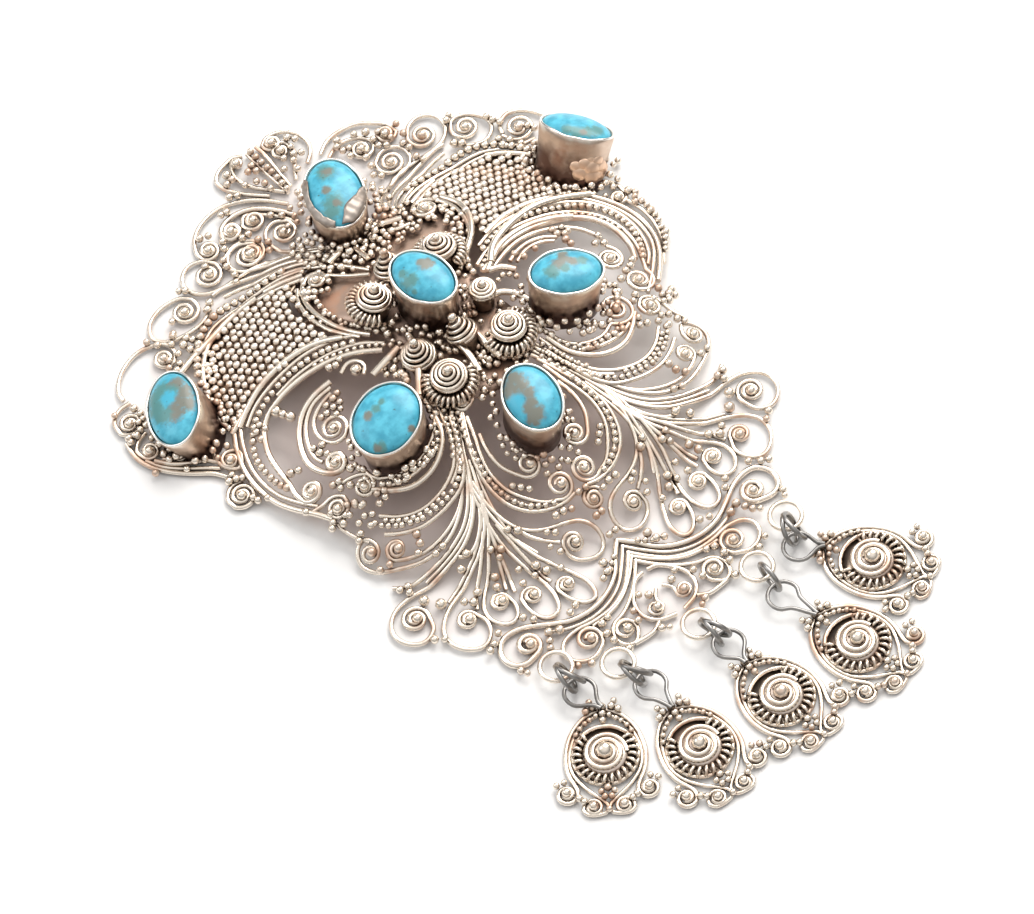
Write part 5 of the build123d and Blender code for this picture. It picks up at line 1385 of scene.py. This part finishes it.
def add_node(tree, kind, inputs, **settings):
    """A shader node, each input given a value or linked to another node's output."""
    node = tree.nodes.new(kind)
    for name, value in settings.items():
        setattr(node, name, value)
    for name, value in inputs.items():
        if isinstance(value, bpy.types.NodeSocket):
            tree.links.new(value, node.inputs[name])
        else:
            node.inputs[name].default_value = value
    return node


def brought(tree, value, low, high, start=0.0, end=1.0, easing="LINEAR"):
    """A value brought from one span to another."""
    inputs = {"Value": value, "From Min": low, "From Max": high, "To Min": start, "To Max": end}
    return add_node(tree, "ShaderNodeMapRange", inputs, interpolation_type=easing).outputs["Result"]


def new_group(name, inputs):
    """A shader node group: itself, its inputs, the place on the piece and its mask's output."""
    group = bpy.data.node_groups.new(name, "ShaderNodeTree")
    for label, kind in inputs.items():
        group.interface.new_socket(label, in_out="INPUT", socket_type=kind)
    group.interface.new_socket("Mask", in_out="OUTPUT", socket_type="NodeSocketFloat")
    given = group.nodes.new("NodeGroupInput").outputs
    where = group.nodes.new("ShaderNodeTexCoord").outputs["Object"]
    return group, given, where, group.nodes.new("NodeGroupOutput").inputs["Mask"]


def mask_group():
    """A soft patchy mask, as a shader node group."""
    kinds = {"Scale": "NodeSocketFloat", "Low": "NodeSocketFloat", "High": "NodeSocketFloat"}
    group, given, where, mask = new_group("patches", kinds)
    noise = {"Vector": where, "Scale": given["Scale"], "Detail": MASK_DETAIL}
    value = add_node(group, "ShaderNodeTexNoise", noise).outputs["Fac"]
    group.links.new(brought(group, value, given["Low"], given["High"], easing="SMOOTHSTEP"), mask)
    return group


def place_mask(tree, scale, low, high):
    """The patchy mask in a material, with its own values."""
    inputs = {"Scale": scale, "Low": low, "High": high}
    return add_node(tree, "ShaderNodeGroup", inputs, node_tree=patch_mask).outputs["Mask"]


def mix_colour(tree, share, first, second):
    """A colour between two, by a mask."""
    first, second = (c + (1.0,) if isinstance(c, tuple) else c for c in (first, second))
    inputs = {"Factor": share, "A": first, "B": second}
    return add_node(tree, "ShaderNodeMix", inputs, data_type="RGBA").outputs["Result"]


def new_material(name):
    """A material with its nodes and its shader's inputs."""
    material = bpy.data.materials.new(name)
    material.use_nodes = True
    return material, material.node_tree, material.node_tree.nodes["Principled BSDF"].inputs


def silver(name, bright, shade, tarnish, roughness, recess):
    """Silver: bright, darker in its recesses with oxide and painted shade, tarnished in patches."""
    material, tree, shader = new_material(name)
    shader["Metallic"].default_value = 1.0
    # The occlusion darkens metal near other metal: oxide in its hollows, with painted shade
    near = {"Distance": recess * MM}
    clear = add_node(tree, "ShaderNodeAmbientOcclusion", near, samples=RECESS_SAMPLES).outputs["AO"]
    patches = place_mask(tree, *METAL_PATCHES)
    worn = mix_colour(tree, patches, bright, tarnish)
    colour = mix_colour(tree, brought(tree, clear, *RECESS_OXIDE_AND_SHADE_SPAN), shade, worn)
    tree.links.new(colour, shader["Base Color"])
    rough = brought(tree, patches, 0.0, 1.0, roughness, roughness + WORN_ROUGH)
    tree.links.new(rough, shader["Roughness"])
    return material


def paint_cup_light_and_shade(tree):
    """Paints light on the cups' silver by the rim and a dark brown shade towards the foot, both blotched
    unevenly.
    """
    base = tree.nodes["Principled BSDF"].inputs["Base Color"]
    worn = base.links[0].from_socket
    rise = add_node(tree, "ShaderNodeAttribute", {}, attribute_name="rise").outputs["Fac"]
    inputs = {0: place_mask(tree, *CUP_BLOTCHES), 1: BLOTCH_DEPTH, 2: rise}
    uneven = add_node(tree, "ShaderNodeMath", inputs, operation="MULTIPLY_ADD").outputs["Value"]
    # Painted shade darkens the cup towards its foot, then painted light brightens it by the rim
    colour = mix_colour(tree, brought(tree, uneven, *FOOT_SHADE_SPAN), FOOT_PAINTED_SHADE, worn)
    colour = mix_colour(tree, brought(tree, uneven, *RIM_LIGHT_SPAN), colour, RIM_PAINTED_LIGHT)
    tree.links.new(colour, base)


def blot_group():
    """A soft uneven blot round a place, as a shader node group."""
    group, given, where, mask = new_group("blot", {"Place": "NodeSocketVector", "Reach": "NodeSocketFloat"})
    noise = add_node(group, "ShaderNodeTexNoise", {"Vector": where, **BLOT_NOISE}).outputs["Fac"]
    inputs = {0: where, 1: given["Place"]}
    away = add_node(group, "ShaderNodeVectorMath", inputs, operation="DISTANCE").outputs["Value"]
    inputs = {0: away, 1: given["Reach"]}
    share = add_node(group, "ShaderNodeMath", inputs, operation="DIVIDE").outputs["Value"]
    inputs = {0: noise, 1: BLOT_ROUGH, 2: share}
    rough = add_node(group, "ShaderNodeMath", inputs, operation="MULTIPLY_ADD").outputs["Value"]
    group.links.new(brought(group, rough, *BLOT_SPAN, easing="SMOOTHSTEP"), mask)
    return group


def turquoise(stone):
    """Polished sky blue stone with its own grey patches and dark specks."""
    material, tree, shader = new_material("turquoise_" + stone["name"])
    for name, value in STONE_GLOSS.items():
        shader[name].default_value = value
    colour = mix_colour(tree, place_mask(tree, *STONE_CLOUDS), *STONE_BLUES)
    stand = TO_FRAME @ stone_matrix(stone)
    for along, across, reach, tone in PATCHES[stone["name"]]:
        out = (2 * along / stone["long"]) ** 2 + (2 * across / stone["short"]) ** 2
        rise = stone["height"] - GIRDLE_DROP + STONE_RISE * math.sqrt(max(0.0, 1 - out))
        inputs = {"Place": stand @ Vector((along, across, rise)), "Reach": reach * MM}
        blot = add_node(tree, "ShaderNodeGroup", inputs, node_tree=stone_blot)
        colour = mix_colour(tree, blot.outputs["Mask"], colour, STONE_TONES[tone])
    colour = mix_colour(tree, place_mask(tree, *STONE_SPECKS), colour, STONE_TONES["dark"])
    tree.links.new(colour, shader["Base Color"])
    return material


def smooth_share(value, low, high):
    """How far a value is from a low to a high one, eased at both ends."""
    share = min(1.0, max(0.0, (value - low) / (high - low)))
    return share * share * (3 - 2 * share)


def painted_shadow_at(x, y):
    """How deep the shadow painted on the floor lies at a place."""
    if not inside(x, y, OUTLINE):
        return 0.0
    place = Vector((x, y))
    away = FLOOR_WIDE
    for start, end in zip(OUTLINE, OUTLINE[1:] + OUTLINE[:1]):
        start, end = Vector(start), Vector(end)
        span = end - start
        share = min(1.0, max(0.0, (place - start).dot(span) / span.length_squared))
        away = min(away, (place - start - span * share).length)
    depth = PAINTED_SHADOW_RIM_LIGHT + (1 - PAINTED_SHADOW_RIM_LIGHT) * smooth_share(math.hypot(x, y - DOME_Y), *PAINTED_SHADOW_RIM)
    depth *= 1 - PAINTED_SHADOW_SIDE_LIGHT * smooth_share(x, *PAINTED_SHADOW_SIDE)
    return depth * smooth_share(away, *PAINTED_SHADOW_EDGE)


def floor_mesh():
    """A wide floor, finer under the brooch, that holds how deep the painted shadow lies."""
    bm = bmesh.new()
    bmesh.ops.create_grid(bm, x_segments=FLOOR_CUTS[0], y_segments=FLOOR_CUTS[1], size=1.0)
    shade = bm.verts.layers.float.new("shade")
    for vert in bm.verts:
        x, y = vert.co.x * FLOOR_WIDE, vert.co.y * FLOOR_LONG
        vert[shade] = painted_shadow_at(x, y)
        if max(abs(vert.co.x), abs(vert.co.y)) > FLOOR_EDGE:
            x, y = x * FLOOR_REACH, y * FLOOR_REACH
        vert.co = TO_FRAME @ Vector((x, y, 0))
    mesh = bpy.data.meshes.new("floor")
    bm.to_mesh(mesh)
    bm.free()
    return mesh


def floor_material():
    """Plain pale paper, with a soft mauve shadow painted under the openwork."""
    material, tree, shader = new_material("pale_floor")
    shader["Roughness"].default_value = FLOOR_ROUGH
    shade = add_node(tree, "ShaderNodeAttribute", {}, attribute_name="shade").outputs["Fac"]
    tree.links.new(mix_colour(tree, shade, FLOOR_TONE, PAINTED_SHADOW_TONE), shader["Base Color"])
    return material


def add_light(name, place, size, power, colour):
    """A soft square light turned to the brooch."""
    data = bpy.data.lights.new(name, "AREA")
    data.size = size
    data.energy = power
    data.color = colour
    light = bpy.data.objects.new(name, data)
    light.location = place
    light.rotation_euler = (-Vector(place)).to_track_quat("-Z", "Y").to_euler()
    bpy.context.scene.collection.objects.link(light)


def add_camera():
    """The camera at the photograph's angle: lens, azimuth, elevation, roll and distance."""
    azimuth, elevation, roll = (math.radians(v) for v in CAMERA_ANGLES)
    aim = AXIS + Vector(CAMERA_AIM) * MM
    reach = CAMERA_REACH * MM
    ahead = Vector((math.sin(azimuth) * math.cos(elevation), math.cos(azimuth) * math.cos(elevation),
                    -math.sin(elevation)))
    level = Vector((math.cos(azimuth), -math.sin(azimuth), 0.0))
    down = ahead.cross(level)
    right = level * math.cos(roll) + down * math.sin(roll)
    down = down * math.cos(roll) - level * math.sin(roll)
    data = bpy.data.cameras.new("camera")
    data.sensor_width = SENSOR
    data.lens = LENS
    data.clip_start = NEAREST
    camera = bpy.data.objects.new("camera", data)
    turn = Matrix((right, -down, -ahead)).transposed().to_4x4()
    camera.matrix_world = Matrix.Translation(aim - ahead * reach) @ turn
    bpy.context.scene.collection.objects.link(camera)
    bpy.context.scene.camera = camera


def named(columns, table):
    """A table's rows, with their columns' names."""
    return [dict(zip(columns, row)) for row in table]


def add_charted(work, loose, wires, rows, grains, side=1):
    """Charted wires, rows and loose granules on the right, or mirrored to the left."""
    for row in wires:
        add_wire(work, row, side)
    for row in rows:
        add_row(work, row, side)
    for x, y, size in grains:
        loose.append((spot(x, y, GRAIN_LEVEL, side), size * GRAIN_GROW))


def charted_work():
    """The openwork as it was charted, its loose granules settled on its metal."""
    work = Wirework("filigree", metals["silver_wire"])
    loose = []
    for side in (1, -1):
        add_charted(work, loose, WIRES, ROWS, GRAINS, side)
    add_charted(work, loose, LONE_WIRES, LONE_ROWS, LONE_GRAINS)
    coil = coil_line(FOOT_START, FOOT_COIL, FOOT_TURNS)
    work.wire([spot(x, y, WIRE_LEVEL + RAISED * share) for x, y, share in coil], WIRE)
    work.grain(spot(*FOOT_COIL, FOOT_LEVEL), FOOT_GRAIN)
    settle(work, loose)
    return work


def strewn_work():
    """Granules strewn by rule over the middle and heaped round the cups."""
    heap = Wirework("heap", metals["heap_silver"])
    centres = [(Vector(place), keep) for place, keep in CALM]
    for cone in named(CONE_COLUMNS, CONES):
        centres.append((Vector((cone["x"], cone["y"])), cone["rim"] + CONE_CLEAR))
    add_clutter(heap, centres)
    for stone in named(STONE_COLUMNS, STONES):
        add_heap(heap, stone)
    return heap


def edge_rings():
    """The plain rings of the lower edge, one for each drop."""
    edge = Wirework("edge_rings", metals["silver_wire"])
    for row in named(CHAIN_COLUMNS, CHAINS):
        centre = chain(row)["start"] + Vector((0, 0, RING_LEVEL))
        edge.wire(ring_line(centre, Vector((1, 0, 0)), Vector((0, 1, 0)), RING_REACH), RING_WIRE, closed=True)
    return edge


def build_settings():
    """The stones in their cups, with the cups' rims, the torn leaves and the gilt lumps."""
    rims = Wirework("cup_rims", metals["rim_silver"])
    stones = named(STONE_COLUMNS, STONES)
    for stone in stones:
        cup_piece(stone, metals["cup_silver"])
        if stone["name"] == "stone_right_wing":
            lump_piece(stone, metals["gilt_lump"])
        add_rim(rims, stone)
        stone_piece(stone, turquoise(stone))
    for index, leaf in enumerate(LEAVES):
        leaf_piece("rim_leaf_" + str(index + 1), leaf, stones[0], metals["leaf_silver"])
    rims.finish()


def build_plate():
    """The openwork: wires, granules, cones, sheets, cups and edge rings."""
    work = charted_work()
    fields = Wirework("field", metals["field_silver_painted_lighter"])
    for side in (1, -1):
        add_field(fields, side)
    cones = Wirework("cones", metals["silver_wire"])
    cores = []
    for cone in named(CONE_COLUMNS, CONES):
        add_cone(cones, cores, cone)
    heap = strewn_work()
    pieces = work.finish()
    for other in (fields, cones, edge_rings(), heap):
        other.finish()
    core_piece(cores, metals["dark_silver"])
    floor_sheet("middle_floor", mirrored(MIDDLE), MIDDLE_LEVEL, MIDDLE_THICK, metals["tarnished_sheet"])
    left_field = [(-x - LEFT_SHIFT, y) for x, y in FIELD]
    for name, outline in (("field_floor_right", FIELD), ("field_floor_left", left_field)):
        floor_sheet(name, outline, FIELD_LEVEL, FIELD_THICK, metals["field_floor"])
    build_settings()
    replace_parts(pieces[0], "plate")


def add_jump_ring(work, row, place, turns):
    """A dark ring that leans in its chain, wound once or twice."""
    lean = math.radians(row["lean"])
    upright = Vector((0, 0, 1)) * math.cos(lean) + place["down"].cross(Vector((0, 0, 1))) * math.sin(lean)
    height = JUMP_REACH * math.cos(lean) + JUMP_WIRE / 2 + JUMP_LIFT
    centre = place["middle"] + Vector((0, 0, height))
    aside = place["down"].cross(upright)
    for turn in turns:
        way = (place["down"] + aside * turn).normalized()
        work.wire(ring_line(centre + aside * turn, way, upright, JUMP_INNER), JUMP_WIRE, closed=True)


def build_drops():
    """The jump rings, bails and drops."""
    for index, row in enumerate(named(CHAIN_COLUMNS, CHAINS)):
        name = str(index + 1)
        place = chain(row)
        ring = Wirework("jump_ring_wire_" + name, metals["dark_wire"])
        add_jump_ring(ring, row, place, JUMP_TURNS[index])
        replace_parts(ring.finish()[0], "jump_ring_" + name)
        bail = Wirework("bail_" + name, metals["dark_wire"])
        add_bail(bail, place)
        bail.finish()
        drop = Wirework("drop_filigree_" + name, metals["silver_wire"])
        stand = add_drop(drop, row, DROP_BALLS[index])
        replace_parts(drop.finish()[0], "drop_" + name)
        disc_piece("drop_disc_" + name, stand, metals["disc_silver"])


def build_room():
    """A pale floor with a shadow painted under the openwork, soft lights and a white surrounding."""
    mesh = floor_mesh()
    mesh.materials.append(floor_material())
    floor = bpy.data.objects.new("floor", mesh)
    bpy.context.scene.collection.objects.link(floor)
    for name, values in LIGHTS.items():
        add_light(name, *values)
    world = bpy.data.worlds.new("surrounding")
    world.use_nodes = True
    tree = world.node_tree
    where = tree.nodes.new("ShaderNodeTexCoord").outputs["Generated"]
    height = add_node(tree, "ShaderNodeSeparateXYZ", {"Vector": where}).outputs["Z"]
    sky = tree.nodes["Background"].inputs
    tree.links.new(brought(tree, height, *SKY_SPAN, *SKY_STRENGTH), sky["Strength"])
    sky["Color"].default_value = SKY_TONE + (1.0,)
    bpy.context.scene.world = world
    bpy.context.scene.view_settings.view_transform = "Standard"


random.seed(7)
patch_mask = mask_group()
metals = {name: silver(name, *values) for name, values in METALS.items()}
paint_cup_light_and_shade(metals["cup_silver"].node_tree)
stone_blot = blot_group()
build_plate()
build_drops()
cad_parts["back_pin"].data.materials.clear()
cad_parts["back_pin"].data.materials.append(metals["silver_wire"])
build_room()
add_camera()
